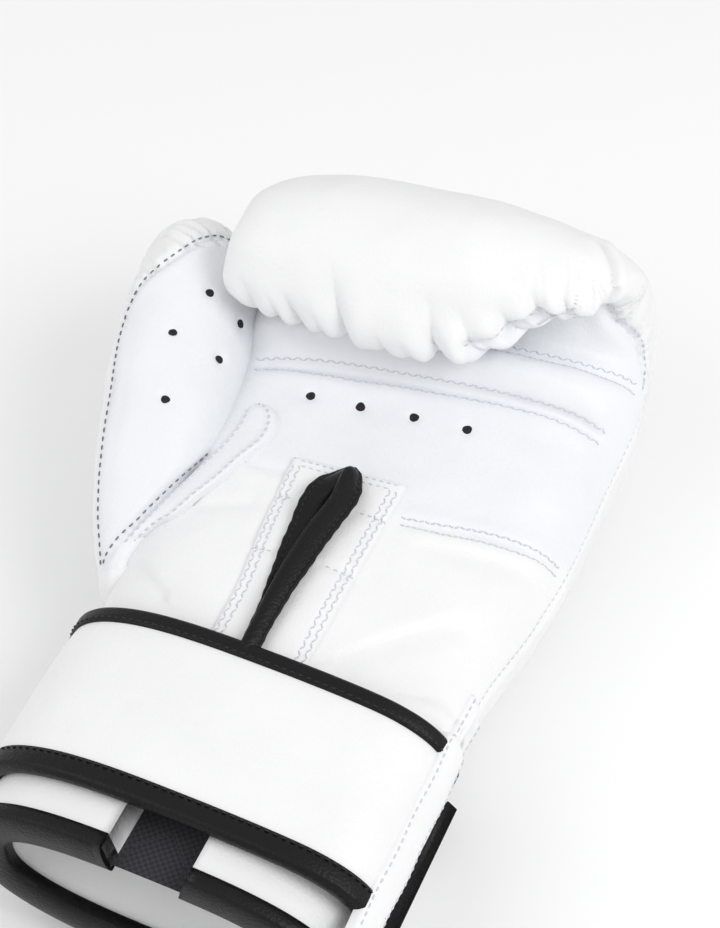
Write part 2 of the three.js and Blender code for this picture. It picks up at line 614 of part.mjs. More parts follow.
add("thumb_panel", cut(thumbLeather(panelFrom, panelTo, 5.4, 11, 9), ...thumbDrills), whiteLeather);
add("thumb_foam", slab(
  (row, angle) => thumbPoint(row, angle, underSkin + gap),
  (row, angle) => thumbPoint(row, angle, underSkin + gap + thumbFoam),
  steps(1.4, 5.3, 7), steps(8, -188, 12)), foamMaterial);
const thumbBag = (more) => steps(1.5, 4.9 - more * 0.08, 6).map((row) =>
  thumbRing(row, underSkin + thumbFoam + 3 * gap + more, 16));
add("thumb_lining", bagSolid(thumbBag(0), thumbBag(liningCloth)), clothMaterial);

export default glove;
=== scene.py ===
"""A left boxing glove lying palm up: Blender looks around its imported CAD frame.

Shapes are worked out in millimetres in the row frame, and become metres when a mesh is made.
"""

import json
import math

import bpy
import numpy as np
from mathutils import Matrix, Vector
from mathutils.bvhtree import BVHTree


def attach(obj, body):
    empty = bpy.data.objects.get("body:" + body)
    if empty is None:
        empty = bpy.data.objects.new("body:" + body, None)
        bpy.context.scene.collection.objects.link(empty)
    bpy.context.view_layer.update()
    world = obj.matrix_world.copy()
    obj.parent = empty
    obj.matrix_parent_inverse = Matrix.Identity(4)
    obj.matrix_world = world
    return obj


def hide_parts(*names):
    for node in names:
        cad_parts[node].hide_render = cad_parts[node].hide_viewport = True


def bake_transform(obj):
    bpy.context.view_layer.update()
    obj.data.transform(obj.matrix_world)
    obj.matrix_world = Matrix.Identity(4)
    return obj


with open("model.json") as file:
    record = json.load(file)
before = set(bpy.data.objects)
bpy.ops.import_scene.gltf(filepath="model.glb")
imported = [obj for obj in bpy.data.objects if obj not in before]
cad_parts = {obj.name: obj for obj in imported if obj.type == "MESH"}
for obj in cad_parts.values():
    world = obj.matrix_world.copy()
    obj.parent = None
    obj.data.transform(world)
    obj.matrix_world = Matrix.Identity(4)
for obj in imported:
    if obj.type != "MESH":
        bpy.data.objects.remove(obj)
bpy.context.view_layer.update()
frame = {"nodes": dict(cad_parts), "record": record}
MM = 0.001

# ---------------------------------------------------------------- driving sizes, as in the CAD
WRIST_Y = -62
PALM_Z = 69.5
FRONT_Y = 131
FIST_HEIGHT = 121.5
BODY_X = 6
WRIST_HALF = 60
PALM_HALF = 68
FIST_HALF = 68
FIST_YAW = 7.5
GRIP_Y = 66
GRIP_RISE = 11
CUFF_LENGTH = 80
CUFF_HALF_HEIGHT = 29.5
CUFF_Z = 39
CUFF_X = 6
STRAP_HIGH_Y = WRIST_Y - 1
STRAP_WIDTH = 63
STRAP_LOW_Y = STRAP_HIGH_Y - STRAP_WIDTH
STRAP_GAP = 0.7
STRAP_DROP = 1.6
BINDING_WIDTH = 6
LOWER_BINDING_WIDTH = 7.5
ROLL_TAPER = 0.25

HUB_Y = GRIP_Y + 20
HUB_Z = PALM_Z + 13.5
BODY_ROWS = [  # outer y, z; inner y, z; half width; x
    (WRIST_Y, CUFF_Z - CUFF_HALF_HEIGHT, WRIST_Y, CUFF_Z + CUFF_HALF_HEIGHT, WRIST_HALF, CUFF_X),
    (WRIST_Y + 30, 1.2, WRIST_Y + 30, PALM_Z + 1, (WRIST_HALF + PALM_HALF) / 2, 4),
    (10, -1.6, 10, PALM_Z, PALM_HALF, BODY_X),
    (48, -1.2, GRIP_Y - 13, PALM_Z + 1.5, PALM_HALF + 1, BODY_X),
    (86, 3, GRIP_Y, PALM_Z + GRIP_RISE, FIST_HALF + 2, BODY_X),
    (FRONT_Y - 19, 22, GRIP_Y + 13, PALM_Z + 8, FIST_HALF + 1, BODY_X - 1),
    (FRONT_Y - 3, 50, HUB_Y - 2, HUB_Z - 2, FIST_HALF - 1, BODY_X - 2),
    (FRONT_Y - 3, 80, HUB_Y, HUB_Z, FIST_HALF - 3, BODY_X - 3),
    (FRONT_Y - 19, FIST_HEIGHT - 13, HUB_Y + 0.5, HUB_Z + 2, FIST_HALF - 3, BODY_X - 5),
    (FRONT_Y - 42, FIST_HEIGHT, HUB_Y, HUB_Z + 3.5, FIST_HALF - 4, BODY_X - 7),
    (FRONT_Y - 63, FIST_HEIGHT - 5.5, HUB_Y - 1, HUB_Z + 3.5, FIST_HALF - 6, BODY_X - 10),
    (FRONT_Y - 76, FIST_HEIGHT - 19, HUB_Y - 2, HUB_Z + 3, FIST_HALF - 8, BODY_X - 12),
    (FRONT_Y - 78, FIST_HEIGHT - 32, HUB_Y - 3, HUB_Z + 2.5, FIST_HALF - 11, BODY_X - 13),
    (FRONT_Y - 67, FIST_HEIGHT - 37.5, HUB_Y - 4, HUB_Z + 2, FIST_HALF - 17, BODY_X - 12),
]
LAST_ROW = len(BODY_ROWS) - 1
CLOSED_ROW = LAST_ROW + 0.8  # the roll's underside closes here

THUMB_BASE = np.array([-58, -41, 45])
THUMB_SHARE = 135 / 132
THUMB_ROWS = [  # x, y, z from the base; half width and half depth as shares
    (0, 0, 0, 0.22, 0.4), (-6, 22, 4, 0.55, 0.74), (-10, 48, 10, 0.86, 0.95), (-15, 74, 17, 1.0, 1.0),
    (-21, 98, 24, 0.97, 0.96), (-26, 115, 29, 0.78, 0.82), (-27, 126, 31, 0.36, 0.42),
]
THUMB_LAST = len(THUMB_ROWS) - 1
THUMB_HALF = (23, 21)
THUMB_TILT = 20


# ---------------------------------------------------------------- small maths
def smooth(x, low, high):
    t = np.clip((np.asarray(x, float) - low) / (high - low), 0, 1)
    return t * t * (3 - 2 * t)


def power(x, e):
    return np.sign(x) * np.abs(x) ** e


def unit(v):
    return v / np.maximum(np.linalg.norm(v, axis=-1, keepdims=True), 1e-9)


def catmull(points, t):
    """Points on the uniform Catmull-Rom curve through points, at t from 0 to 1."""
    p = np.asarray(points, float)
    n = len(p)
    p = np.vstack([2 * p[0] - p[1], p, 2 * p[-1] - p[-2]])
    u = np.clip(np.asarray(t, float), 0, 1) * (n - 1)
    i = np.minimum(u.astype(int), n - 2)
    w = (u - i)[..., None]
    a, b, c, d = p[i], p[i + 1], p[i + 2], p[i + 3]
    m1, m2 = (c - a) / 2, (d - b) / 2
    return (2 * b - 2 * c + m1 + m2) * w**3 + (-3 * b + 3 * c - 2 * m1 - m2) * w**2 + m1 * w + b


def along_line(points, count):
    """count points evenly spaced along a smooth curve through points."""
    dense = catmull(points, np.linspace(0, 1, 60 * len(points)))
    length = np.concatenate([[0], np.cumsum(np.linalg.norm(np.diff(dense, axis=0), axis=1))])
    at = np.linspace(0, length[-1], count)
    return np.stack([np.interp(at, length, dense[:, k]) for k in range(dense.shape[1])], -1)


WAVES = np.random.default_rng(11).normal(size=(24, 4))


def waves(p, scale):
    """Smooth noise, about -1 to 1, that varies over scale millimetres."""
    k = unit(WAVES[:, :3]) * (0.7 + 0.6 * np.abs(np.sin(WAVES[:, 3:]))) * 2 * math.pi / scale
    phase = p @ k.T + WAVES[:, 3] * 9
    return np.sin(phase).sum(-1) / math.sqrt(2 * len(k))


def nearest(p, line):
    """Distance from each point of p to a densely sampled line, and the nearest sample's index."""
    flat = p.reshape(-1, p.shape[-1])
    gap, index = np.empty(len(flat)), np.empty(len(flat), int)
    for start in range(0, len(flat), 8000):
        part = flat[start:start + 8000]
        gaps = (part**2).sum(1)[:, None] + (line**2).sum(1)[None] - 2 * part @ line.T
        index[start:start + 8000] = gaps.argmin(1)
        gap[start:start + 8000] = np.sqrt(np.maximum(gaps.min(1), 0))
    return gap.reshape(p.shape[:-1]), index.reshape(p.shape[:-1])


# ---------------------------------------------------------------- the body's surface
TABLE = np.array(BODY_ROWS, float)


def row_facts(row):
    return catmull(TABLE, np.asarray(row, float) / LAST_ROW)


def corner_power(row, palm_side):
    return np.where(palm_side, 2.6 + smooth(row, 1.5, 3), 2.7)


def body_point(row, angle):
    """A point of the body's section. angle: 0 right, 90 palm side, 180 left, -90 back."""
    row, angle = np.broadcast_arrays(np.asarray(row, float), np.asarray(angle, float))
    facts = row_facts(np.minimum(row, LAST_ROW))
    rad = np.radians(angle)
    corner = corner_power(row, np.sin(rad) > 0)
    c = power(np.cos(rad), 2 / corner)
    s = power(np.sin(rad), 2 / corner)
    dx = facts[..., 4] * c
    x = facts[..., 5] + dx
    outer = facts[..., 0:2].copy()
    inner = facts[..., 2:4].copy()
    # At the little finger's end the gathers draw the roll up, and the finger panel stands under it.
    drawn = smooth(x, 24, 50)
    up = (drawn * smooth(row, 10.1, 11.2))[..., None]
    outer = outer * (1 - up) + np.array([72, 99.5]) * up
    inner[..., 1] += 11 * drawn * smooth(row, 5, 8)
    inner[..., 0] -= 4 * drawn * smooth(row, 6.5, 9)
    # The roll's lower edge swells between the gathers.
    swell = smooth(row, 10.6, 11.6) * (1 - smooth(row, 12.2, 13)) * (1 - drawn)
    outer[..., 0] -= 3.0 * swell * smooth(x, -30, 0) * (1 - smooth(x, 20, 40))
    outer[..., 0] += 7 * smooth(row, 11.6, 12.6) * smooth(x, 4, 18)
    across = inner - outer
    half = np.linalg.norm(across, axis=-1) / 2
    across = unit(across)
    thin = ROLL_TAPER * smooth(row, 5, 8) * np.maximum(c, 0) ** 2
    past = np.clip((row - LAST_ROW) / (CLOSED_ROW - LAST_ROW), 0, 1)
    close = np.sqrt(1 - past**2)
    middle = (outer + inner) / 2 + across * (half * thin)[..., None]
    yz = middle + across * (half * s * (1 - thin) * close)[..., None]
    slant = math.tan(math.radians(FIST_YAW)) * smooth(row, 0.6, 3)
    return np.stack([x, yz[..., 0] + slant * dx, np.maximum(yz[..., 1], 0)], -1)


def palm_angle(row, x):
    """The section angle at which the palm side of a row is at x."""
    facts = row_facts(row)
    share = np.clip((x - facts[..., 5]) / facts[..., 4], -1, 1)
    return np.degrees(np.arccos(power(share, corner_power(row, True) / 2)))


THUMB_TABLE = np.array(THUMB_ROWS, float)


def thumb_point(row, angle):
    """A point of the thumb's section. angle: 0 palm, 90 the panel's middle, 180 left, -90 under."""
    row, angle = np.broadcast_arrays(np.asarray(row, float), np.asarray(angle, float))
    t = np.clip(row / THUMB_LAST, 0, 1)
    facts = catmull(THUMB_TABLE, t)
    ahead = catmull(THUMB_TABLE, np.clip(t + 1e-3, 0, 1))[..., :3]
    behind = catmull(THUMB_TABLE, np.clip(t - 1e-3, 0, 1))[..., :3]
    along = unit(ahead - behind)
    face = np.array([math.sin(math.radians(THUMB_TILT)), 0, math.cos(math.radians(THUMB_TILT))])
    face = unit(face - along * (along @ face)[..., None])
    wide = np.cross(along, face)
    c = power(np.cos(np.radians(angle)), 2 / 2.4)
    s = power(np.sin(np.radians(angle)), 2 / 2.4)
    cap = np.sqrt(np.maximum(1 - smooth(row, THUMB_LAST, THUMB_LAST + 0.35) - smooth(-row, 0, 0.35), 0))
    past = np.maximum(row - THUMB_LAST, 0) * 12 + np.minimum(row, 0) * 30
    middle = facts[..., :3] * THUMB_SHARE + THUMB_BASE + along * past[..., None]
    return (middle + wide * (facts[..., 3] * THUMB_HALF[0] * c * cap)[..., None]
            + face * (facts[..., 4] * THUMB_HALF[1] * s * cap)[..., None])


# ---------------------------------------------------------------- meshes
def mesh_piece(name, points, faces, materials, face_slots=None):
    """A smooth-shaded object from points in millimetres."""
    mesh = bpy.data.meshes.new(name)
    mesh.from_pydata((np.asarray(points) * MM).tolist(), [], faces)
    for material in materials:
        mesh.materials.append(material)
    if face_slots is not None:
        mesh.polygons.foreach_set("material_index", np.asarray(face_slots, np.int32))
    mesh.polygons.foreach_set("use_smooth", np.ones(len(mesh.polygons), bool))
    mesh.update()
    piece = bpy.data.objects.new(name, mesh)
    bpy.context.scene.collection.objects.link(piece)
    return piece


def grid_faces(rows, columns, closed):
    i = np.arange(rows - 1)[:, None]
    j = np.arange(columns if closed else columns - 1)[None]
    k = (j + 1) % columns
    quads = np.stack([i * columns + j, (i + 1) * columns + j, (i + 1) * columns + k, i * columns + k], -1)
    return quads.reshape(-1, 4)


def tube_normals(p):
    """Normals of a grid whose columns close on themselves."""
    return unit(np.cross(np.gradient(p, axis=0), np.roll(p, -1, 1) - np.roll(p, 1, 1)))


SEAM_STEP = 0.8  # millimetres between the samples of a seam


class Skin:
    """A closed tube of leather: a grid of rows and section angles, pushed in and out along its normals."""

    def __init__(self, surface, rows, palm_columns, back_columns):
        self.rows = rows
        angles = []
        for row in rows:
            ring = []
            for low, count in ((0, palm_columns), (180, back_columns)):
                dense = np.linspace(low, low + 180, 361)
                gaps = np.linalg.norm(np.diff(surface(row, dense), axis=0), axis=1)
                length = np.concatenate([[0], np.cumsum(gaps + 1e-3)])
                ring.append(np.interp(np.linspace(0, length[-1], count, endpoint=False), length, dense))
            angles.append(np.concatenate(ring))
        self.angles = np.array(angles)
        self.row_grid = np.broadcast_to(rows[:, None], self.angles.shape)
        self.base = surface(self.row_grid, self.angles)
        self.normals = tube_normals(self.base)
        self.push = np.zeros(self.angles.shape)
        self.base_tree = self.tree(self.base)

    def tree(self, points):
        columns = self.angles.shape[1]
        flat = points.reshape(-1, 3)
        return BVHTree.FromPolygons(flat.tolist(), grid_faces(len(flat) // columns, columns, True).tolist())

    def line(self, points):
        """A dense line over the bare skin near the given points."""
        guess = along_line(np.array(points, float), 400)
        length = np.linalg.norm(np.diff(guess, axis=0), axis=1).sum()
        return snap(self.base_tree, along_line(np.array(points, float), int(length / SEAM_STEP) + 2))[0]

    def finish(self):
        self.final = self.base + self.normals * self.push[..., None]
        self.final[..., 2] = np.maximum(self.final[..., 2], 0)
        self.final_tree = self.tree(self.final)

    def faces(self):
        rows, columns = self.angles.shape
        quads = grid_faces(rows, columns, True)
        first = list(range(columns))[::-1]
        last = list(range((rows - 1) * columns, rows * columns))
        return quads, [first, last]


def snap(tree, points):
    """The nearest places on a surface, with its normals there."""
    hits = [tree.find_nearest(p) for p in points]
    return np.array([h[0] for h in hits]), np.array([h[1] for h in hits])


def groove(skin, line, depth, width, shoulder=0.0):
    """A sewn valley along a line, with the padding standing up beside it."""
    d, index = nearest(skin.base, line)
    fade = smooth(index, -2, 8) * (1 - smooth(index, len(line) - 9, len(line) + 1))
    skin.push -= fade * depth * np.exp(-((d / width) ** 2))
    skin.push += fade * shoulder * np.exp(-(((d - 2.6 * width) / (1.6 * width)) ** 2))
    return d, index


def crimp(skin, d, index, where, spacing, depth, reach):
    """Sharp little pleats square to a seam, dying out away from it."""
    along = index * SEAM_STEP
    phase = math.pi * along / spacing + 0.7 * np.sin(along * 0.31) + 0.4 * np.sin(along * 0.83 + d * 0.12)
    uneven = 0.55 + 0.45 * np.sin(along * 0.47 + 1.3) * np.sin(along * 0.19)
    sharp = (1 - np.abs(np.sin(phase))) ** 0.85
    skin.push -= np.where(where, depth * uneven * sharp * np.exp(-((d / reach) ** 2)), 0)


# ---------------------------------------------------------------- materials
def new_material(name):
    """A node material, with its nodes, links, shader and texture coordinates."""
    material = bpy.data.materials.new(name)
    material.use_nodes = True
    nodes, links = material.node_tree.nodes, material.node_tree.links
    return material, nodes, links, nodes["Principled BSDF"], nodes.new("ShaderNodeTexCoord")


def leather_material(name, color, roughness, grain=0.25, crease=0.35, shine=0.45):
    material, nodes, links, shader, coords = new_material(name)

    def noise(scale, detail=3.0, rough=0.55):
        node = nodes.new("ShaderNodeTexNoise")
        node.inputs["Scale"].default_value = scale
        node.inputs["Detail"].default_value = detail
        node.inputs["Roughness"].default_value = rough
        links.new(coords.outputs["Object"], node.inputs["Vector"])
        return node

    cells = nodes.new("ShaderNodeTexVoronoi")
    cells.inputs["Scale"].default_value = 1100
    links.new(coords.outputs["Object"], cells.inputs["Vector"])
    patches = noise(28, 4)
    tint = nodes.new("ShaderNodeValToRGB")
    tint.color_ramp.elements[0].position = 0.3
    tint.color_ramp.elements[1].position = 0.7
    tint.color_ramp.elements[0].color = (*[c * 0.955 for c in color], 1)
    tint.color_ramp.elements[1].color = (*color, 1)
    links.new(patches.outputs["Fac"], tint.inputs["Fac"])
    links.new(tint.outputs["Color"], shader.inputs["Base Color"])
    rough = nodes.new("ShaderNodeMapRange")
    rough.inputs["To Min"].default_value = roughness - 0.06
    rough.inputs["To Max"].default_value = roughness + 0.08
    links.new(noise(160, 3).outputs["Fac"], rough.inputs["Value"])
    links.new(rough.outputs["Result"], shader.inputs["Roughness"])
    fine = nodes.new("ShaderNodeBump")
    fine.inputs["Strength"].default_value = grain
    fine.inputs["Distance"].default_value = 0.00025
    links.new(cells.outputs["Distance"], fine.inputs["Height"])
    soft = nodes.new("ShaderNodeBump")
    soft.inputs["Strength"].default_value = crease
    soft.inputs["Distance"].default_value = 0.0012
    links.new(noise(90, 4, 0.5).outputs["Fac"], soft.inputs["Height"])
    links.new(fine.outputs["Normal"], soft.inputs["Normal"])
    links.new(soft.outputs["Normal"], shader.inputs["Normal"])
    shader.inputs["Specular IOR Level"].default_value = shine
    return material


def cloth_material(name, color, scale, roughness=0.9):
    material, nodes, links, shader, coords = new_material(name)
    weave = nodes.new("ShaderNodeTexChecker")
    weave.inputs["Scale"].default_value = scale
    weave.inputs["Color1"].default_value = (*color, 1)
    weave.inputs["Color2"].default_value = (*[c * 1.8 for c in color], 1)
    links.new(coords.outputs["Object"], weave.inputs["Vector"])
    links.new(weave.outputs["Color"], shader.inputs["Base Color"])
    bump = nodes.new("ShaderNodeBump")
    bump.inputs["Strength"].default_value = 0.4
    bump.inputs["Distance"].default_value = 0.0003
    links.new(weave.outputs["Fac"], bump.inputs["Height"])
    links.new(bump.outputs["Normal"], shader.inputs["Normal"])
    shader.inputs["Roughness"].default_value = roughness
    return material


def thread_material(name, color):
    material, nodes, links, shader, coords = new_material(name)
    twist = nodes.new("ShaderNodeTexNoise")
    twist.inputs["Scale"].default_value = 900
    links.new(coords.outputs["Object"], twist.inputs["Vector"])
    ramp = nodes.new("ShaderNodeValToRGB")
    ramp.color_ramp.elements[0].color = (*[c * 0.75 for c in color], 1)
    ramp.color_ramp.elements[1].color = (*color, 1)
    links.new(twist.outputs["Fac"], ramp.inputs["Fac"])
    links.new(ramp.outputs["Color"], shader.inputs["Base Color"])
    shader.inputs["Roughness"].default_value = 0.6
    return material


WHITE = leather_material("white_leather", (0.87, 0.87, 0.875), 0.42)
COOL = leather_material("palm_leather", (0.835, 0.852, 0.88), 0.46)
BLACK = leather_material("black_binding", (0.0035, 0.0025, 0.003), 0.42, grain=0.5, crease=0.25, shine=0.26)
LINING = cloth_material("dark_lining", (0.022, 0.022, 0.026), 900)
FASTENER = cloth_material("fastener", (0.014, 0.014, 0.016), 1500, 0.97)
# Cloth for the vent discs: the dark lining seen through each punched hole, made darker still as painted shade
# inside the hole.
VENT_LINING_SHADE = cloth_material("vent_lining_and_painted_shade", (0.010, 0.009, 0.012), 800)
PALE_THREAD = thread_material("pale_thread", (0.72, 0.73, 0.81))
DARK_THREAD = thread_material("dark_thread", (0.2, 0.215, 0.28))
BLACK_THREAD = thread_material("black_thread", (0.012, 0.010, 0.011))


# ---------------------------------------------------------------- stitches
def stitch_mesh(name, runs, material):
    """One object of short threads. Each run is (points, normals, pitch, share, radius, sway, lift)."""
    ring = 6
    profile = [(-0.5, 0.35), (-0.36, 0.9), (0, 1.0), (0.36, 0.9), (0.5, 0.35)]
    points, faces = [], []
    for line, normals, pitch, share, radius, sway, lift in runs:
        length = np.concatenate([[0], np.cumsum(np.linalg.norm(np.diff(line, axis=0), axis=1))])
        count = max(int(length[-1] / pitch), 1)
        at = (np.arange(count) + 0.5) * length[-1] / count
        place = np.stack([np.interp(at, length, line[:, k]) for k in range(3)], -1)
        up = unit(np.stack([np.interp(at, length, normals[:, k]) for k in range(3)], -1))
        ahead = np.stack([np.interp(at + 0.5, length, line[:, k]) for k in range(3)], -1)
        behind = np.stack([np.interp(at - 0.5, length, line[:, k]) for k in range(3)], -1)
        tangent = unit(ahead - behind)
        side = unit(np.cross(up, tangent))
        turn = sway * np.where(np.arange(count) % 2, 1, -1)[:, None]
        direction = unit(tangent + side * turn)
        cross = unit(np.cross(up, direction))
        long = pitch * share
        for centre, d, s, n in zip(place + up * lift, direction, cross, up):
            base = len(points)
            for t, r in profile:
                dip = 0.5 * radius * (1 - (2 * t) ** 2) - 0.3 * radius
                for q in range(ring):
                    w = 2 * math.pi * q / ring
                    points.append(centre + d * (t * long) + n * dip
                                  + (s * math.cos(w) + n * math.sin(w)) * (r * radius))
            for a in range(len(profile) - 1):
                for q in range(ring):
                    e = (q + 1) % ring
                    faces.append([base + a * ring + q, base + a * ring + e,
                                  base + (a + 1) * ring + e, base + (a + 1) * ring + q])
            faces.append([base + q for q in range(ring)][::-1])
            faces.append([base + (len(profile) - 1) * ring + q for q in range(ring)])
    return mesh_piece(name, points, faces, [material])


def beside(line, normals, offset):
    """A line moved sideways over its surface."""
    tangent = unit(np.gradient(line, axis=0))
    return line + unit(np.cross(normals, tangent)) * offset


# ---------------------------------------------------------------- glove body
STRIP_TOP_ROW = 2.12
STRIP_X = 4
STRIP_HALF = 17
STRIP_ROW_LENGTH = 40  # millimetres along the palm from one body row to the next


def seam_right(row):
    return 4 + 29 * smooth(row, 4.5, 7.5)


def wrist_seam(v):
    return np.where(v < 0.5, 2.1 - 0.5 * v, 1.85 + 0.3 * smooth(v, 0.6, 1))


body_rows = np.concatenate([
    np.linspace(0, 2.4, 70, endpoint=False), np.linspace(2.4, 5.4, 110, endpoint=False),
    np.linspace(5.4, 9.2, 90, endpoint=False), np.linspace(9.2, LAST_ROW, 150, endpoint=False),
    np.linspace(LAST_ROW, CLOSED_ROW - 0.01, 10)])
body = Skin(body_point, body_rows, 190, 200)
rows = body.row_grid
x_body = body.base[..., 0]
y_body = body.base[..., 1]
outer_side = np.sin(np.radians(body.angles)) < 0.15


def palm_place(row, x):
    """Places on the palm side at rows and x."""
    row, x = np.broadcast_arrays(np.asarray(row, float), np.asarray(x, float))
    return body_point(row, palm_angle(row, x))


side_rows = np.linspace(0, 5.2, 24)
SEAM_POINTS = {
    "palm_grip": palm_place(np.linspace(3.04, 3.26, 14), np.linspace(-50, 70, 14)),
    "grip_finger": palm_place(np.linspace(4.5, 4.62, 14), np.linspace(-50, 73, 14)),
    "wrist_right": np.array([(22.6, 1.6, 69), (35, 5, 68.5), (48, 9.8, 67), (62, 14.5, 60), (72.8, 19, 47)]),
    "wrist_left": palm_place(np.linspace(2.1, 1.85, 8), np.linspace(-60, 2, 8)),
    "side_right": body_point(side_rows, seam_right(side_rows)),
    "side_left": body_point(side_rows, 180 - seam_right(side_rows)),
    "gather": np.array([(-4, 60, 92), (14, 61.5, 93), (28, 63, 96), (39.3, 67.8, 99), (46.9, 73.5, 100.3),
                        (56.7, 84.3, 96.7), (61.8, 98.8, 83), (69, 101, 72.8), (72.5, 99, 64), (74, 92, 52)]),
    "fold": np.array([(46, 108, 109), (53, 101, 110), (57.5, 94, 108), (58.5, 87, 102), (57.5, 83.5, 97.5)]),
}
SEAM_SHAPES = {  # depth, width, shoulder
    "palm_grip": (1.9, 2.0, 0.5), "grip_finger": (1.7, 2.0, 0.5), "gather": (1.9, 1.8, 0.5),
    "wrist_right": (0.9, 1.6, 0.3), "wrist_left": (0.7, 1.6, 0.2),
    "side_right": (1.1, 1.6, 0.3), "side_left": (1.6, 2.4, 0.4), "fold": (2.6, 1.5, 0.9),
}
seams = {name: body.line(points) for name, points in SEAM_POINTS.items()}
near = {name: groove(body, seams[name], *shape) for name, shape in SEAM_SHAPES.items()}

ROLL_CREASES = [  # row and x at the top and at the lower edge, depth, width
    ((11.0, -57), (11.9, -50), 1.6, 1.7), ((11.2, -46), (12.1, -41), 2.0, 1.5),
    ((11.05, -40.5), (12.2, -33), 3.4, 1.6), ((10.35, -26), (12.3, -16.5), 3.8, 1.8),
    ((11.4, -7), (12.3, -3), 1.4, 1.6), ((10.5, 7), (12.4, 16), 4.6, 1.8),
    ((10.7, 18), (12.0, 28.5), 3.8, 1.7), ((10.5, 29.5), (11.5, 36), 3.2, 1.5),
    ((10.0, 37), (11.2, 45), 3.2, 1.5), ((9.8, 46), (10.7, 50.5), 2.4, 1.3),
    ((10.9, 22), (12.0, 31.5), 1.3, 1.2), ((10.3, 41), (11.0, 46.5), 1.2, 1.2),
    ((11.3, -30), (12.2, -25), 1.2, 1.3), ((11.5, 2), (12.4, 6), 1.2, 1.3),
]
for (top_row, top_x), (low_row, low_x), depth, width in ROLL_CREASES:
    t = (rows - top_row) / (low_row - top_row)
    line_x = top_x + (low_x - top_x) * t + 0.9 * np.sin(3.4 * t)
    along = smooth(t, -0.15, 0.8) * (1 - smooth(t, 1.1, 1.6))
    away = (x_body - line_x) / (width * (1.7 - 0.8 * np.clip(t, 0, 1)))
    sharp = 1.1 * np.exp(-np.abs(away) ** 1.1) - 0.3 * np.exp(-((np.abs(away) - 3.0) / 1.8) ** 2)
    body.push -= np.where(outer_side, depth * along * sharp, 0)

# Small pleats of the roll and of the end wall, square to the gather seam and to the side seam.
flat_index = near["gather"][1]
tangent = unit(np.gradient(seams["gather"], axis=0))
side = (np.cross(body.normals, tangent[flat_index]) * (body.base - seams["gather"][flat_index])).sum(-1)
past_edge = side > 0
crimp(body, *near["gather"], past_edge & (x_body > 36), 5.0, 1.5, 18)
crimp(body, *near["side_right"], (body.angles > 180) & (rows > 3.4) & (rows < 6.5), 5.0, 1.3, 14)
crimp(body, *near["side_left"], (body.angles < 270) & (rows > 2.6) & (rows < 6.5), 5.4, 1.3, 14)

PALM_DENTS = [  # x, y, depth, spread: the hollow of the palm and soft sags beside the seams
    (50, 20, 2.0, 17), (-8, 30, 1.6, 22), (24, 36, 1.2, 16),
]
palm_side = (np.sin(np.radians(body.angles)) > 0.2) & (rows < 4)
for x, y, depth, spread in PALM_DENTS:
    gap2 = (x_body - x) ** 2 + (y_body - y) ** 2
    body.push -= np.where(palm_side, depth * np.exp(-gap2 / spread**2), 0)

WRIST_FOLDS = [  # x, y at the ends, depth, width
    ((27, -54), (54, -23), 1.5, 5.0), ((48, -57), (62, -50), 1.0, 3.0), ((-40, -14), (-24, -9), 0.9, 3.5),
    ((-52, -40), (-34, -52), 0.9, 4.0), ((36, -2), (66, 8), 0.7, 4.0),
]
for start, end, depth, width in WRIST_FOLDS:
    t = np.linspace(0, 1, 60)[:, None]
    flat = np.array(start) * (1 - t) + np.array(end) * t
    gaps = np.stack([x_body, y_body], -1)
    d = nearest(gaps, flat)[0]
    aside = (gaps[..., 0] - start[0]) * (end[1] - start[1]) - (gaps[..., 1] - start[1]) * (end[0] - start[0])
    spread = np.where(aside > 0, width, 0.5 * width)
    body.push -= np.where(palm_side, depth * np.exp(-((d / spread) ** 2)), 0)

VENTS = [(-25.6 + 18 * i) for i in range(4)]
vent_y = GRIP_Y - 22.5
slope = math.tan(math.radians(FIST_YAW))
palm_vents, _ = snap(body.base_tree, [(x, vent_y + slope * (x - BODY_X), PALM_Z + 2) for x in VENTS])
for place in palm_vents:
    body.push -= 1.1 * np.exp(-((nearest(body.base, place[None])[0] / 2.3) ** 2))

flat_back = smooth(body.base[..., 2], 0.5, 6)
body.push += flat_back * (0.55 * waves(body.base, 46) + 0.22 * waves(body.base, 17))
body.push = np.where(body.base[..., 2] < 0.4, 0, body.push)
body.finish()

quads, caps = body.faces()
face_row = body.row_grid[:-1].ravel()
face_angle = body.angles[:-1].ravel()
seam_here = seam_right(face_row)
on_palm = (face_angle > seam_here) & (face_angle < 180 - seam_here) & (face_row < 9.6)
end_wall = (face_row > 6.6) & (x_body[:-1].ravel() > np.where(face_row > 10, 18, 34))
on_palm = np.where(end_wall, ~past_edge[:-1].ravel(), on_palm)
wrist_row = wrist_seam(np.clip(1 - face_angle / 180, 0, 1))
cool = on_palm & (face_row > wrist_row)
glove_shell = mesh_piece("glove_shell", body.final.reshape(-1, 3), quads.tolist() + caps, [WHITE, COOL],
                         list(cool.astype(int)) + [0, 0])
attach(glove_shell, "glove")
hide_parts("back_cover", "back_foam", "knuckle_foam", "knuckle_inner_foam", "roll_foam",
            "grip_bar", "grip_bar_cover", "finger_panel", "palm_panel", "wrist_panel_left",
            "wrist_panel_right")


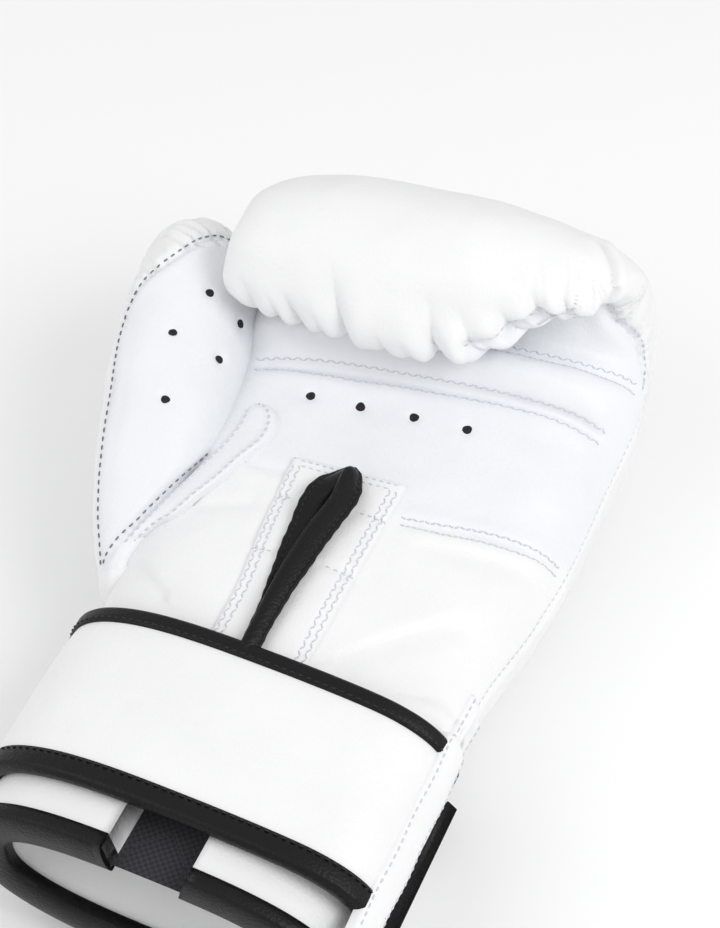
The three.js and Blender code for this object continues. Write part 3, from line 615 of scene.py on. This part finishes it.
def dark_discs(name, places, radius, bodyname):
    """Punched vents: dished discs at (point, normal), dark for the lining seen through each hole and for the
    painted shade inside it.
    """
    points, faces = [], []
    for centre, normal in places:
        side = unit(np.cross(normal, [0.3, 1, 0.2]))
        other = np.cross(normal, side)
        base = len(points)
        for r, z in ((1.0, 0.3), (0.8, 0.42), (0.45, 0.3)):
            for q in range(20):
                w = 2 * math.pi * q / 20
                rough = 1 + 0.07 * math.sin(3 * w + base)
                outward = side * math.cos(w) + other * math.sin(w)
                points.append(centre + outward * radius * r * rough + normal * z)
        points.append(centre + normal * 0.2)
        for ring in range(2):
            for q in range(20):
                e = (q + 1) % 20
                a = base + ring * 20
                faces.append([a + q, a + e, a + 20 + e, a + 20 + q])
        faces += [[base + 40 + q, base + 40 + (q + 1) % 20, base + 60] for q in range(20)]
    piece = mesh_piece(name, points, faces, [VENT_LINING_SHADE])
    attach(piece, bodyname)
    return piece


dark_discs("palm_vents", zip(*snap(body.final_tree, palm_vents)), 1.75, "glove")


def smoothed(values):
    """Values smoothed along a line, so that threads don't follow the grid's steps."""
    padded = np.pad(values, ((3, 3), (0, 0)), mode="edge")
    return sum(padded[k:k + len(values)] for k in range(7)) / 7


def run_on(skin, line, offset=0.0, pitch=2.4, share=0.62, radius=0.28, sway=0.0, lift=0.1):
    """A row of stitches on a finished skin, offset millimetres to one side of a line."""
    bare_normals = unit(smoothed(snap(skin.base_tree, line)[1]))
    place, normals = snap(skin.final_tree, beside(smoothed(line), bare_normals, offset))
    return smoothed(place), unit(smoothed(normals)), pitch, share, radius, sway, lift


body_threads = []
for name, offset in (("palm_grip", 2.4), ("palm_grip", -2.2), ("grip_finger", 2.1), ("grip_finger", -2.1)):
    body_threads.append(run_on(body, seams[name], offset, pitch=1.9, share=1.0, radius=0.24, sway=0.6))
for offset in (1.5, -1.5):
    body_threads.append(run_on(body, seams["wrist_right"], offset, pitch=1.9, share=0.9, sway=0.35))
for name, offset in (("side_right", 1.7), ("side_left", -1.7), ("gather", 2.0)):
    body_threads.append(run_on(body, seams[name], offset, pitch=2.7, share=0.6))

# ---------------------------------------------------------------- centre strip
STRIP_ROWS = np.linspace(0.0, STRIP_TOP_ROW, 90)
strip_left_x = STRIP_X - STRIP_HALF - 6 * smooth(STRIP_ROWS, 0.5, STRIP_TOP_ROW)
strip_right_x = np.full(len(STRIP_ROWS), float(STRIP_X + STRIP_HALF))
strip_shares = np.linspace(0, 1, 44)


strip_r = np.broadcast_to(STRIP_ROWS[:, None], (len(STRIP_ROWS), len(strip_shares)))
strip_x = strip_left_x[:, None] * (1 - strip_shares) + strip_right_x[:, None] * strip_shares
edge = np.minimum(np.minimum(strip_x - strip_left_x[:, None], strip_right_x[:, None] - strip_x),
                  (STRIP_TOP_ROW - strip_r) * STRIP_ROW_LENGTH)
rise = 1.9 * (1 - np.exp(-((edge / 1.1) ** 2))) - 0.5 * np.exp(-(((edge - 3.2) / 1.7) ** 2))
rise = rise + 0.5 * np.clip(edge / 12, 0, 1) - 2.2 * (edge < 0.01)
strip_flat = body_point(strip_r, palm_angle(strip_r, strip_x))
rise = rise + 0.35 * waves(strip_flat, 19) * np.clip(edge / 5, 0, 1)
cross_rows = [(1.68, -17.5, -11), (1.12, -15, -7), (1.72, 11, 21), (1.15, 10, 21)]
for row, x0, x1 in cross_rows:
    channel = np.exp(-(((strip_r - row) * STRIP_ROW_LENGTH / 1.8) ** 2))
    rise = rise - 0.5 * channel * (strip_x > x0 - 2) * (strip_x < x1 + 2)
strip_points = strip_flat + np.stack([0 * rise, 0 * rise, rise], -1)
centre_strip = mesh_piece("centre_strip_leather", strip_points.reshape(-1, 3),
                          grid_faces(*strip_r.shape, False).tolist(), [WHITE])
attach(centre_strip, "glove")
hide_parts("centre_strip")


def strip_run(rows_, xs, sway, pitch=1.9, share=1.0):
    r = np.linspace(rows_[0], rows_[-1], 120)
    x = np.interp(np.linspace(0, 1, 120), np.linspace(0, 1, len(xs)), xs)
    i = np.interp(r, STRIP_ROWS, np.arange(len(STRIP_ROWS)))
    left = np.interp(r, STRIP_ROWS, strip_left_x)
    right = np.interp(r, STRIP_ROWS, strip_right_x)
    j = np.clip((x - left) / (right - left), 0, 1) * (len(strip_shares) - 1)
    i0, j0 = np.minimum(i.astype(int), len(STRIP_ROWS) - 2), np.minimum(j.astype(int), len(strip_shares) - 2)
    wi, wj = (i - i0)[:, None], (j - j0)[:, None]
    p = ((strip_points[i0, j0] * (1 - wj) + strip_points[i0, j0 + 1] * wj) * (1 - wi)
         + (strip_points[i0 + 1, j0] * (1 - wj) + strip_points[i0 + 1, j0 + 1] * wj) * wi)
    n = np.tile([0.0, 0.0, 1.0], (120, 1))
    return smoothed(p), n, pitch, share, 0.23, sway, 0.08


for inset in (2.3, 4.6):
    left = np.interp(np.linspace(0.02, 2.02, 12), STRIP_ROWS, strip_left_x) + inset
    body_threads.append(strip_run((0.02, 2.02), left, 0.6))
    body_threads.append(strip_run((0.02, 2.02), np.full(12, STRIP_X + STRIP_HALF - inset), 0.6))
    top = STRIP_TOP_ROW - 0.025 * inset
    ends = [inset / 2 - STRIP_HALF, STRIP_X + STRIP_HALF - inset]
    body_threads.append(strip_run((top, top), ends, 0.0, 2.4, 0.6))
for row, x0, x1 in cross_rows:
    body_threads.append(strip_run((row, row), [x0, x1], 0.0, 2.3, 0.62))

# ---------------------------------------------------------------- thumb
thumb_rows = np.concatenate([np.linspace(-0.34, 0.05, 12, endpoint=False),
                             np.linspace(0.05, THUMB_LAST, 170, endpoint=False),
                             np.linspace(THUMB_LAST, THUMB_LAST + 0.34, 10)])
thumb = Skin(thumb_point, thumb_rows, 100, 90)


def thumb_seam(row):
    return 180 - 15 - 12 * smooth(row, 2.4, 3.4) - 20 * smooth(row, 3.6, 4.2) - 70 * smooth(row, 4.0, 5.3)


def thumb_line(rows_, angles, count=240):
    table = np.stack([np.asarray(rows_, float), np.asarray(angles, float)], -1)
    params = catmull(table, np.linspace(0, 1, count))
    return params[:, 0], params[:, 1]


OUTER_SEAM = ([0.1, 0.5, 1.0, 1.4, 1.9, 2.4, 2.96, 3.4, 3.76, 4.06, 4.42, 4.76, 5.1, 5.28, 5.36],
              [174, 169, 165, 165, 163, 160, 165, 166, 157, 141, 118, 102, 87, 74, 55])
INNER_SEAM = ([5.36, 5.2, 4.8, 4.2, 3.4, 2.6, 2.0], [55, 38, 20, 8, 2, 2, 8])
WEB_SEAM = ([0.1, 0.26, 0.56, 1.02, 1.52, 2.0], [174, 132, 93, 70, 51, 30])
thumb_seams = {}
thumb_near = {}
for name, line, depth in (("outer", OUTER_SEAM, 1.4), ("inner", INNER_SEAM, 1.2), ("web", WEB_SEAM, 1.0)):
    thumb_seams[name] = thumb.line(thumb_point(*thumb_line(*line, 40)))
    thumb_near[name] = groove(thumb, thumb_seams[name], depth, 1.5, 0.45)
tr, ta = thumb.row_grid, thumb.angles
outside = ta > thumb_seam(tr)
crimp(thumb, *thumb_near["outer"], outside & (tr > 3.2), 5.0, 1.7, 15)
for row, angle, depth in ((3.62, 176, 1.6), (4.15, 158, 1.4), (4.75, 128, 1.2), (5.1, 112, 1.1)):
    start = thumb_point(row, angle - 16)
    end = thumb_point(row + 0.25, angle + 26)
    t = np.linspace(0, 1, 40)[:, None]
    crease = start * (1 - t) + end * t
    thumb.push -= np.where(outside, depth * np.exp(-((nearest(thumb.base, crease)[0] / 1.6) ** 2)), 0)
thumb.push += 0.4 * waves(thumb.base, 40) + 0.15 * waves(thumb.base, 15)
THUMB_VENTS = [(3.88, 86), (3.2, 104), (2.32, 96), (3.06, 66), (3.62, 51)]
for row, angle in THUMB_VENTS:
    d = nearest(thumb.base, thumb_point(row, angle)[None])[0]
    thumb.push -= 1.1 * np.exp(-((d / 2.3) ** 2))
thumb.finish()
quads, caps = thumb.faces()
face_row, face_angle = tr[:-1].ravel(), ta[:-1].ravel()
inner_edge = np.interp(face_row, INNER_SEAM[0][::-1], INNER_SEAM[1][::-1])
web_edge = np.interp(face_row, WEB_SEAM[0], WEB_SEAM[1])
low_edge = np.where(face_row < 2.0, web_edge - 75, inner_edge)
panel = (face_angle > low_edge) & (face_angle < np.interp(face_row, *OUTER_SEAM))
panel = panel & (face_row < 5.33) & (face_row > 0)
thumb_shell = mesh_piece("thumb_shell", thumb.final.reshape(-1, 3), quads.tolist() + caps, [WHITE, COOL],
                         list(panel.astype(int)) + [0, 0])
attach(thumb_shell, "thumb")
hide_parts("thumb_cover", "thumb_panel", "thumb_foam", "thumb_lining")
vent_spots = [thumb_point(row, angle) for row, angle in THUMB_VENTS]
dark_discs("thumb_vents", zip(*snap(thumb.final_tree, vent_spots)), 1.6, "thumb")

thumb_threads = [run_on(thumb, thumb_seams[name], offset, pitch=3.0, share=0.58, radius=0.3)
                 for name, offset in (("outer", 0.9), ("web", 0.9), ("inner", 0.9))]
thumb_stitches = stitch_mesh("thumb_stitches", thumb_threads, DARK_THREAD)
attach(thumb_stitches, "thumb")

# ---------------------------------------------------------------- gusset in the web of the thumb
web_low = along_line(np.array([(-62, -39, 51), (-57, -31, 58.5), (-53, -17, 61.5), (-49.5, -4, 62.5),
                               (-46, 9, 63.5), (-43.5, 20, 65), (-43, 28, 65.5)], float), 60)
web_high = along_line(np.array([(-61, -41, 50), (-51, -26, 59.5), (-45, -21, 62.6), (-40.7, -12, 65),
                                (-36.3, -3, 66.4), (-32.5, 8.4, 67.4), (-29, 16.5, 68), (-29.5, 24, 68),
                                (-33.5, 29.5, 67.8), (-40, 31.5, 66.2)], float), 60)
ws = np.linspace(0, 1, 16)[None, :, None]
web = web_low[:, None] * (1 - ws) + web_high[:, None] * ws
wide = np.linalg.norm(web_high - web_low, axis=1)[:, None]
swell = np.sin(np.pi * ws[..., 0]) ** 0.7 * np.minimum(wide * 0.16, 1.5)
swell = swell - 1.4 * (np.abs(2 * ws[..., 0] - 1) > 0.99)
swell = swell + 1.3 * np.exp(-(((ws[..., 0] - 0.86) / 0.12) ** 2)) * smooth(wide, 3, 8)
web = web + np.array([0, -0.25, 0.95]) * swell[..., None]
gusset = mesh_piece("web_gusset_leather", web.reshape(-1, 3), grid_faces(60, 16, False).tolist(), [COOL])
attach(gusset, "glove")
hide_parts("web_gusset")
up = np.tile(unit(np.array([0, -0.2, 1.0])), (60, 1))
for column in (2, 12):
    body_threads.append((web[:, column], up, 2.8, 0.55, 0.33, 0.0, 0.15))


# ---------------------------------------------------------------- cuff and strap
def oval(y, angle, half_width, half_height, z, corner=2.8):
    c = power(np.cos(np.radians(angle)), 2 / corner)
    s = power(np.sin(np.radians(angle)), 2 / corner)
    y, c, s = np.broadcast_arrays(y, c, s)
    return np.stack([CUFF_X + half_width * c, y, z + half_height * s], -1)


def cuff_point(y, angle, over):
    return oval(y, angle, WRIST_HALF + over, CUFF_HALF_HEIGHT + over, CUFF_Z)


def strap_point(y, angle, over):
    height = CUFF_HALF_HEIGHT + STRAP_GAP + STRAP_DROP + over
    turn = np.asarray(angle, float)
    corner = 2.8 + 0.9 * smooth(turn, -10, 25) * (1 - smooth(turn, 60, 90))
    return oval(y, turn, WRIST_HALF + STRAP_GAP + over, height, CUFF_Z - STRAP_DROP, corner)


def even_angles(start, end, count):
    """Section angles from start to end, evenly spaced along the strap."""
    dense = np.linspace(start, end, 720)
    gaps = np.linalg.norm(np.diff(strap_point(0, dense, 4), axis=0), axis=1)
    length = np.concatenate([[0], np.cumsum(gaps)])
    return np.interp(np.linspace(0, length[-1], count), length, dense)


def swept(name, section, surface, angles, material, wobble=0.0, caps=(True, True)):
    """A closed section of (y, over) points carried round an oval."""
    section = np.asarray(section, float)
    points = np.stack([surface(section[:, 0], a, section[:, 1]) for a in angles])
    if wobble:
        outward = unit(surface(section[None, :, 0], angles[:, None], 10 + 0 * section[None, :, 1]) - points)
        top = section[:, 1] > section[:, 1].mean()
        points = points + outward * (wobble * waves(points, 34) * top)[..., None]
    rows_, columns = points.shape[:2]
    faces = grid_faces(rows_, columns, True).tolist()
    ends = [list(range(columns))[::-1], list(range((rows_ - 1) * columns, rows_ * columns))]
    faces += [end for end, wanted in zip(ends, caps) if wanted]
    return mesh_piece(name, points.reshape(-1, 3), faces, [material])


def pillow(low, high, bottom, top, crown, count=26):
    """The section of a flat padded band, crowned on its outer face."""
    t = np.linspace(0, 1, count)
    upper = top + crown * (1 - np.abs(2 * t - 1) ** 2.6)
    return [(low + (high - low) * a, o) for a, o in zip(t, upper)] + [(high, bottom), (low, bottom)]


def folded_tape(edge_y, way, width, inside, outside, wall=1.15):
    """The section of a tape folded over an edge: round at the fold, with two lips."""
    mid = (inside + outside) / 2
    reach = (outside - inside) / 2 + wall
    arc = [(edge_y + way * (1.6 - 1.9 * math.sin(w)), mid - reach * math.cos(w))
           for w in np.linspace(0, math.pi, 13)]
    lips = [(edge_y + way * width * 0.6, outside + wall * 0.95),
            (edge_y + way * (width - 0.4), outside + wall * 0.8),
            (edge_y + way * width, outside + wall * 0.35), (edge_y + way * width, outside - 0.3)]
    under = [(edge_y + way * width, inside + 0.3), (edge_y + way * width, inside - wall * 0.35),
             (edge_y + way * (width - 0.4), inside - wall * 0.8)]
    return arc + lips + under


STRAP_IN, STRAP_OUT = 1.5, 4.1
strap_parts = [  # name, from, to, bodies, hinge angle, nodes
    ("near", 6, 88, ("glove", "strap_palm"), 24, ("strap_anchor", "strap_palm")),
    ("side", 88, 180, ("strap_palm", "strap_side"), 148, ("strap_side",)),
    ("back", 180, 348.5, ("strap_side", "strap_back"), 212, ("strap_back",)),
]
for part, start, end, (before, after), hinge, nodes in strap_parts:
    angles = even_angles(start, end, int((end - start) * 1.3) + 12)
    caps = (part == "near", part == "back")
    pillowed = pillow(STRAP_LOW_Y + 1, STRAP_HIGH_Y - 1, STRAP_IN, STRAP_OUT, 1.2)
    upper = folded_tape(STRAP_HIGH_Y, -1, BINDING_WIDTH, 1.3, 4.5)
    lower = folded_tape(STRAP_LOW_Y, 1, LOWER_BINDING_WIDTH, 1.3, 4.5)
    pieces = [
        (swept(f"strap_{part}", pillowed, strap_point, angles, WHITE, 0.35, caps), "outer_leather", "panel"),
        (swept(f"strap_{part}_upper_tape", upper, strap_point, angles, BLACK, 0.0, caps), "binding",
         "upper_binding"),
        (swept(f"strap_{part}_lower_tape", lower, strap_point, angles, BLACK, 0.0, caps), "binding",
         "lower_binding"),
    ]
    lines = []
    for y in (STRAP_HIGH_Y - BINDING_WIDTH + 1.1, STRAP_LOW_Y + LOWER_BINDING_WIDTH - 1.1):
        line = strap_point(y, angles, 5.62)
        lines.append((line, unit(strap_point(y, angles, 8) - line), 2.7, 0.6, 0.27, 0.0, 0.0))
    pieces.append((stitch_mesh(f"strap_{part}_stitches", lines, BLACK_THREAD), "binding", None))
    for piece, slot, kind in pieces:
        if kind:
            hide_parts(*[f"{node}_{kind}" for node in nodes])
        middle_y = (STRAP_LOW_Y + STRAP_HIGH_Y) / 2
        Vector(strap_point(middle_y, hinge - 9, 4) * MM)
        Vector(strap_point(middle_y, hinge + 9, 4) * MM)
        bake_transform(piece)

tip = swept("strap_tip", [(STRAP_LOW_Y + 1, 1.0), (STRAP_LOW_Y, 2.9), (STRAP_LOW_Y + 1, 6.2),
                          (STRAP_HIGH_Y - 1, 6.2), (STRAP_HIGH_Y, 2.9), (STRAP_HIGH_Y - 1, 1.0)],
            strap_point, even_angles(342, 349.6, 10), BLACK)
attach(tip, "strap_back")
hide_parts("strap_tip_binding")

for name, surface, low, high, a0, a1, rider in (
        ("hook_field", strap_point, 0.0, 1.15, 236, 318, "strap_back"),
        ("loop_field", cuff_point, 0.3, 1.5, 222, 324, "glove")):
    section = [(STRAP_LOW_Y + 10.5, low), (STRAP_HIGH_Y - 10.5, low), (STRAP_HIGH_Y - 10.5, high),
               (STRAP_LOW_Y + 10.5, high)]
    field = swept(f"{name}_pile", section, surface, even_angles(a0, a1, 60), FASTENER)
    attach(field, rider)
    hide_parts(name)

cuff_end = WRIST_Y - CUFF_LENGTH
cuff_angles = np.linspace(97, 443, 150)
cuff_section = pillow(cuff_end + 1.5, WRIST_Y - 2, -10.2, -0.3, 0.3, 30)
cuff = swept("cuff_leather", cuff_section, cuff_point, cuff_angles, WHITE)
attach(cuff, "glove")
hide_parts("cuff_cover", "cuff_foam")
edge_section = folded_tape(cuff_end, 1, BINDING_WIDTH, -10.4, 0.1)
edge_tape = swept("cuff_edge_tape", edge_section, cuff_point, cuff_angles, BLACK)
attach(edge_tape, "glove")
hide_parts("cuff_binding")

LINING_COLUMNS = 80
LINING_RINGS = [  # y, inset
    (cuff_end + 2, 11.2), (-110, 11.4), (-80, 11.8), (-50, 14), (-20, 17), (10, 19), (40, 20),
    (60, 24), (68, 34)]
lining_angles = np.linspace(0, 360, LINING_COLUMNS, endpoint=False)
lining_rings = np.array([
    oval(y, lining_angles, WRIST_HALF - inset + 2, CUFF_HALF_HEIGHT - inset * 0.85, CUFF_Z)
    for y, inset in LINING_RINGS])
closing = lining_rings[-1].mean(0) + (lining_rings[-1] - lining_rings[-1].mean(0)) * 0.05
lining_rings = np.concatenate([lining_rings, closing[None]])
lining_faces = grid_faces(len(lining_rings), LINING_COLUMNS, True).tolist()
lining_faces.append(list(range(len(LINING_RINGS) * LINING_COLUMNS, len(lining_rings) * LINING_COLUMNS)))
lining = mesh_piece("hand_lining_cloth", lining_rings.reshape(-1, 3), lining_faces, [LINING])
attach(lining, "glove")
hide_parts("hand_lining", "cuff_gusset")

# ---------------------------------------------------------------- side strip over the strap's sewn end
STRIP_OVER = 4.7
STRIP_END_Y = WRIST_Y + 25
su = np.linspace(0, 1, 80)[:, None]
sv = np.linspace(0, 1, 22)[None]
strip_y = cuff_end + 2 + su * (STRIP_END_Y - cuff_end - 2) + 0 * sv
past_strap = smooth(strip_y, STRAP_HIGH_Y + 1, STRAP_HIGH_Y + 10)
strip_angle = 18 - 13 * past_strap + (13 - 5 * past_strap) * (2 * sv - 1)
edge = np.minimum(np.minimum(sv, 1 - sv) * (17 - 4 * past_strap), np.minimum(su, 1 - su) * 118)
rise = 1.7 * (1 - np.exp(-((edge / 1.4) ** 2))) - 0.35 * np.exp(-(((edge - 3) / 1.3) ** 2))
rise = rise - 1.5 * (edge < 0.01)
on_strap = strap_point(strip_y, strip_angle, STRIP_OVER + rise + 0.25 * np.sin(su * 23))
on_body, body_normals = snap(body.final_tree, strap_point(strip_y, strip_angle, STRIP_OVER).reshape(-1, 3))
on_body = (on_body + body_normals * (0.3 + rise).reshape(-1, 1)).reshape(on_strap.shape)
side_grid = on_strap + (on_body - on_strap) * past_strap[..., None]
side_strip = mesh_piece("side_strip_leather", side_grid.reshape(-1, 3),
                        grid_faces(80, 22, False)[:, ::-1].tolist(), [WHITE])
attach(side_strip, "glove")
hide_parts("side_strip")
for column in (3, 18):
    line = side_grid[:, column]
    normal = unit(line - np.array([CUFF_X, 0, CUFF_Z]) * [1, 0, 1] - line * [0, 1, 0])
    body_threads.append((line, normal, 2.8, 0.6, 0.3, 0.0, 0.1))

# ---------------------------------------------------------------- hang loop
LOOP_X, LOOP_LENGTH, LOOP_SPREAD = 2.5, 72.0, 5.6
LOOP_RINGS = 170
loop_root = np.array([LOOP_X, STRAP_HIGH_Y + 1, 71.4])
loop_line = along_line(np.array([  # the near run, the pinched tip, and the run behind it
    (0, -0.07, 1.6), (0.02, 0.06, 3.2), (0.06, 0.3, 4.8), (0.3, 0.6, 5.6), (0.6, 0.8, 5.4),
    (0.45, 0.93, 4.9), (0.1, 1, 4.3), (-0.45, 0.94, 3.3), (-0.95, 0.82, 2.6), (-0.72, 0.6, 2.0),
    (-0.25, 0.3, 1.4), (-0.05, 0.05, 0.9), (0.0, -0.07, 0.6),
]) * [LOOP_SPREAD, LOOP_LENGTH, 1], LOOP_RINGS) + loop_root
tangent = unit(np.gradient(loop_line, axis=0))
across = unit(np.cross(tangent, [0, 0, 1.0]))
upward = np.cross(across, tangent)
loop_share = np.linspace(0, 1, LOOP_RINGS)
# The tape is widest past the middle of each run, is pinched at the tip, and leans inwards on the near run.
loop_wide = (0.74 + 0.26 * smooth(loop_share, 0.05, 0.3) * (1 - smooth(loop_share, 0.75, 0.95))
             - 0.22 * np.exp(-(((loop_share - 0.5) / 0.03) ** 2)))
loop_lean = 0.15 - 0.5 * smooth(loop_share, 0.5, 0.6) + 0.5 * np.exp(-(((loop_share - 0.5) / 0.05) ** 2))
section = [  # a round fold on one side and a flat sewn flange on the other
    (-4.1, 0.0), (-3.7, 1.0), (-2.4, 1.5), (-0.6, 1.5), (1.0, 1.2), (2.3, 0.85), (2.9, 0.5), (3.4, 0.75),
    (4.3, 0.6), (4.6, 0.2), (4.3, -0.3), (3.4, -0.5), (2.3, -0.8), (1.0, -1.0), (-0.6, -1.2), (-2.4, -1.2),
    (-3.7, -0.9)]
rings = []
for k in range(LOOP_RINGS):
    flange = 1 + 0.025 * math.sin(k * 1.1) + 0.02 * math.sin(k * 0.37)
    cos, sin = math.cos(loop_lean[k]), math.sin(loop_lean[k])
    ring = []
    for a, b in section:
        a = a * loop_wide[k] * (flange if a > 2.5 else 1)
        ring.append(loop_line[k] + across[k] * (a * cos + b * sin) + upward[k] * (b * cos - a * sin))
    rings.append(ring)
rings = np.array(rings)
loop_faces = grid_faces(LOOP_RINGS, len(section), True).tolist()
loop_faces.append(list(range(len(section)))[::-1])
loop_faces.append(list(range((LOOP_RINGS - 1) * len(section), LOOP_RINGS * len(section))))
hang_loop = mesh_piece("hang_loop_tape", rings.reshape(-1, 3), loop_faces, [BLACK])
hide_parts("hang_loop")
loop_edge = rings[:, 6]
loop_run = (loop_edge, upward, 2.6, 0.6, 0.26, 0.0, 0.1)
loop_stitches = stitch_mesh("hang_loop_stitches", [loop_run], BLACK_THREAD)
for piece in (hang_loop, loop_stitches):
    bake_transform(piece)

glove_stitches = stitch_mesh("glove_stitches", body_threads, PALE_THREAD)
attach(glove_stitches, "glove")

FINISHES = {"outer_leather": WHITE, "palm_leather": COOL, "binding": BLACK, "foam": LINING,
            "lining": LINING, "hook_tape": FASTENER, "loop_tape": FASTENER}
node_slots = {entry["node"]: entry["material_slot"] for entry in frame["record"]["subparts"]}
for node, piece in frame["nodes"].items():
    piece.data.materials.clear()
    piece.data.materials.append(FINISHES[node_slots[node]])

# ---------------------------------------------------------------- floor, light and camera
floor_mesh = bpy.data.meshes.new("floor")
floor_mesh.from_pydata([(-3, -3, 0), (3, -3, 0), (3, 3, 0), (-3, 3, 0)], [], [(0, 1, 2, 3)])
floor = bpy.data.objects.new("floor", floor_mesh)
bpy.context.scene.collection.objects.link(floor)
floor_material = bpy.data.materials.new("floor_white")
floor_material.use_nodes = True
floor_shader = floor_material.node_tree.nodes["Principled BSDF"]
floor_shader.inputs["Base Color"].default_value = (0.93, 0.93, 0.93, 1)
floor_shader.inputs["Roughness"].default_value = 0.7
floor_mesh.materials.append(floor_material)

world = bpy.data.worlds.new("studio")
bpy.context.scene.world = world
world.use_nodes = True
world.node_tree.nodes["Background"].inputs["Color"].default_value = (1, 1, 1, 1)
world.node_tree.nodes["Background"].inputs["Strength"].default_value = 0.74


def area_light(name, place, target, size, power_w, color=(1, 1, 1)):
    data = bpy.data.lights.new(name, "AREA")
    data.energy = power_w
    data.size = size
    data.color = color
    light = bpy.data.objects.new(name, data)
    light.location = place
    light.rotation_euler = (Vector(target) - Vector(place)).to_track_quat("-Z", "Y").to_euler()
    bpy.context.scene.collection.objects.link(light)


area_light("key", (0.8, -0.1, 0.95), (0, 0.02, 0.05), 0.6, 5.2)
area_light("fill", (-0.7, -0.6, 0.9), (0, 0, 0.05), 1.0, 3.2, (0.98, 0.985, 1.0))

bpy.context.scene.view_settings.view_transform = "Standard"
lens = bpy.data.cameras.new("camera")
lens.lens = 85
lens.sensor_width = 36
camera = bpy.data.objects.new("camera", lens)
camera.location = (0.18885, -0.40027, 0.61556)
camera.rotation_euler = (math.radians(40), 0, math.radians(24))
bpy.context.scene.collection.objects.link(camera)
bpy.context.scene.camera = camera
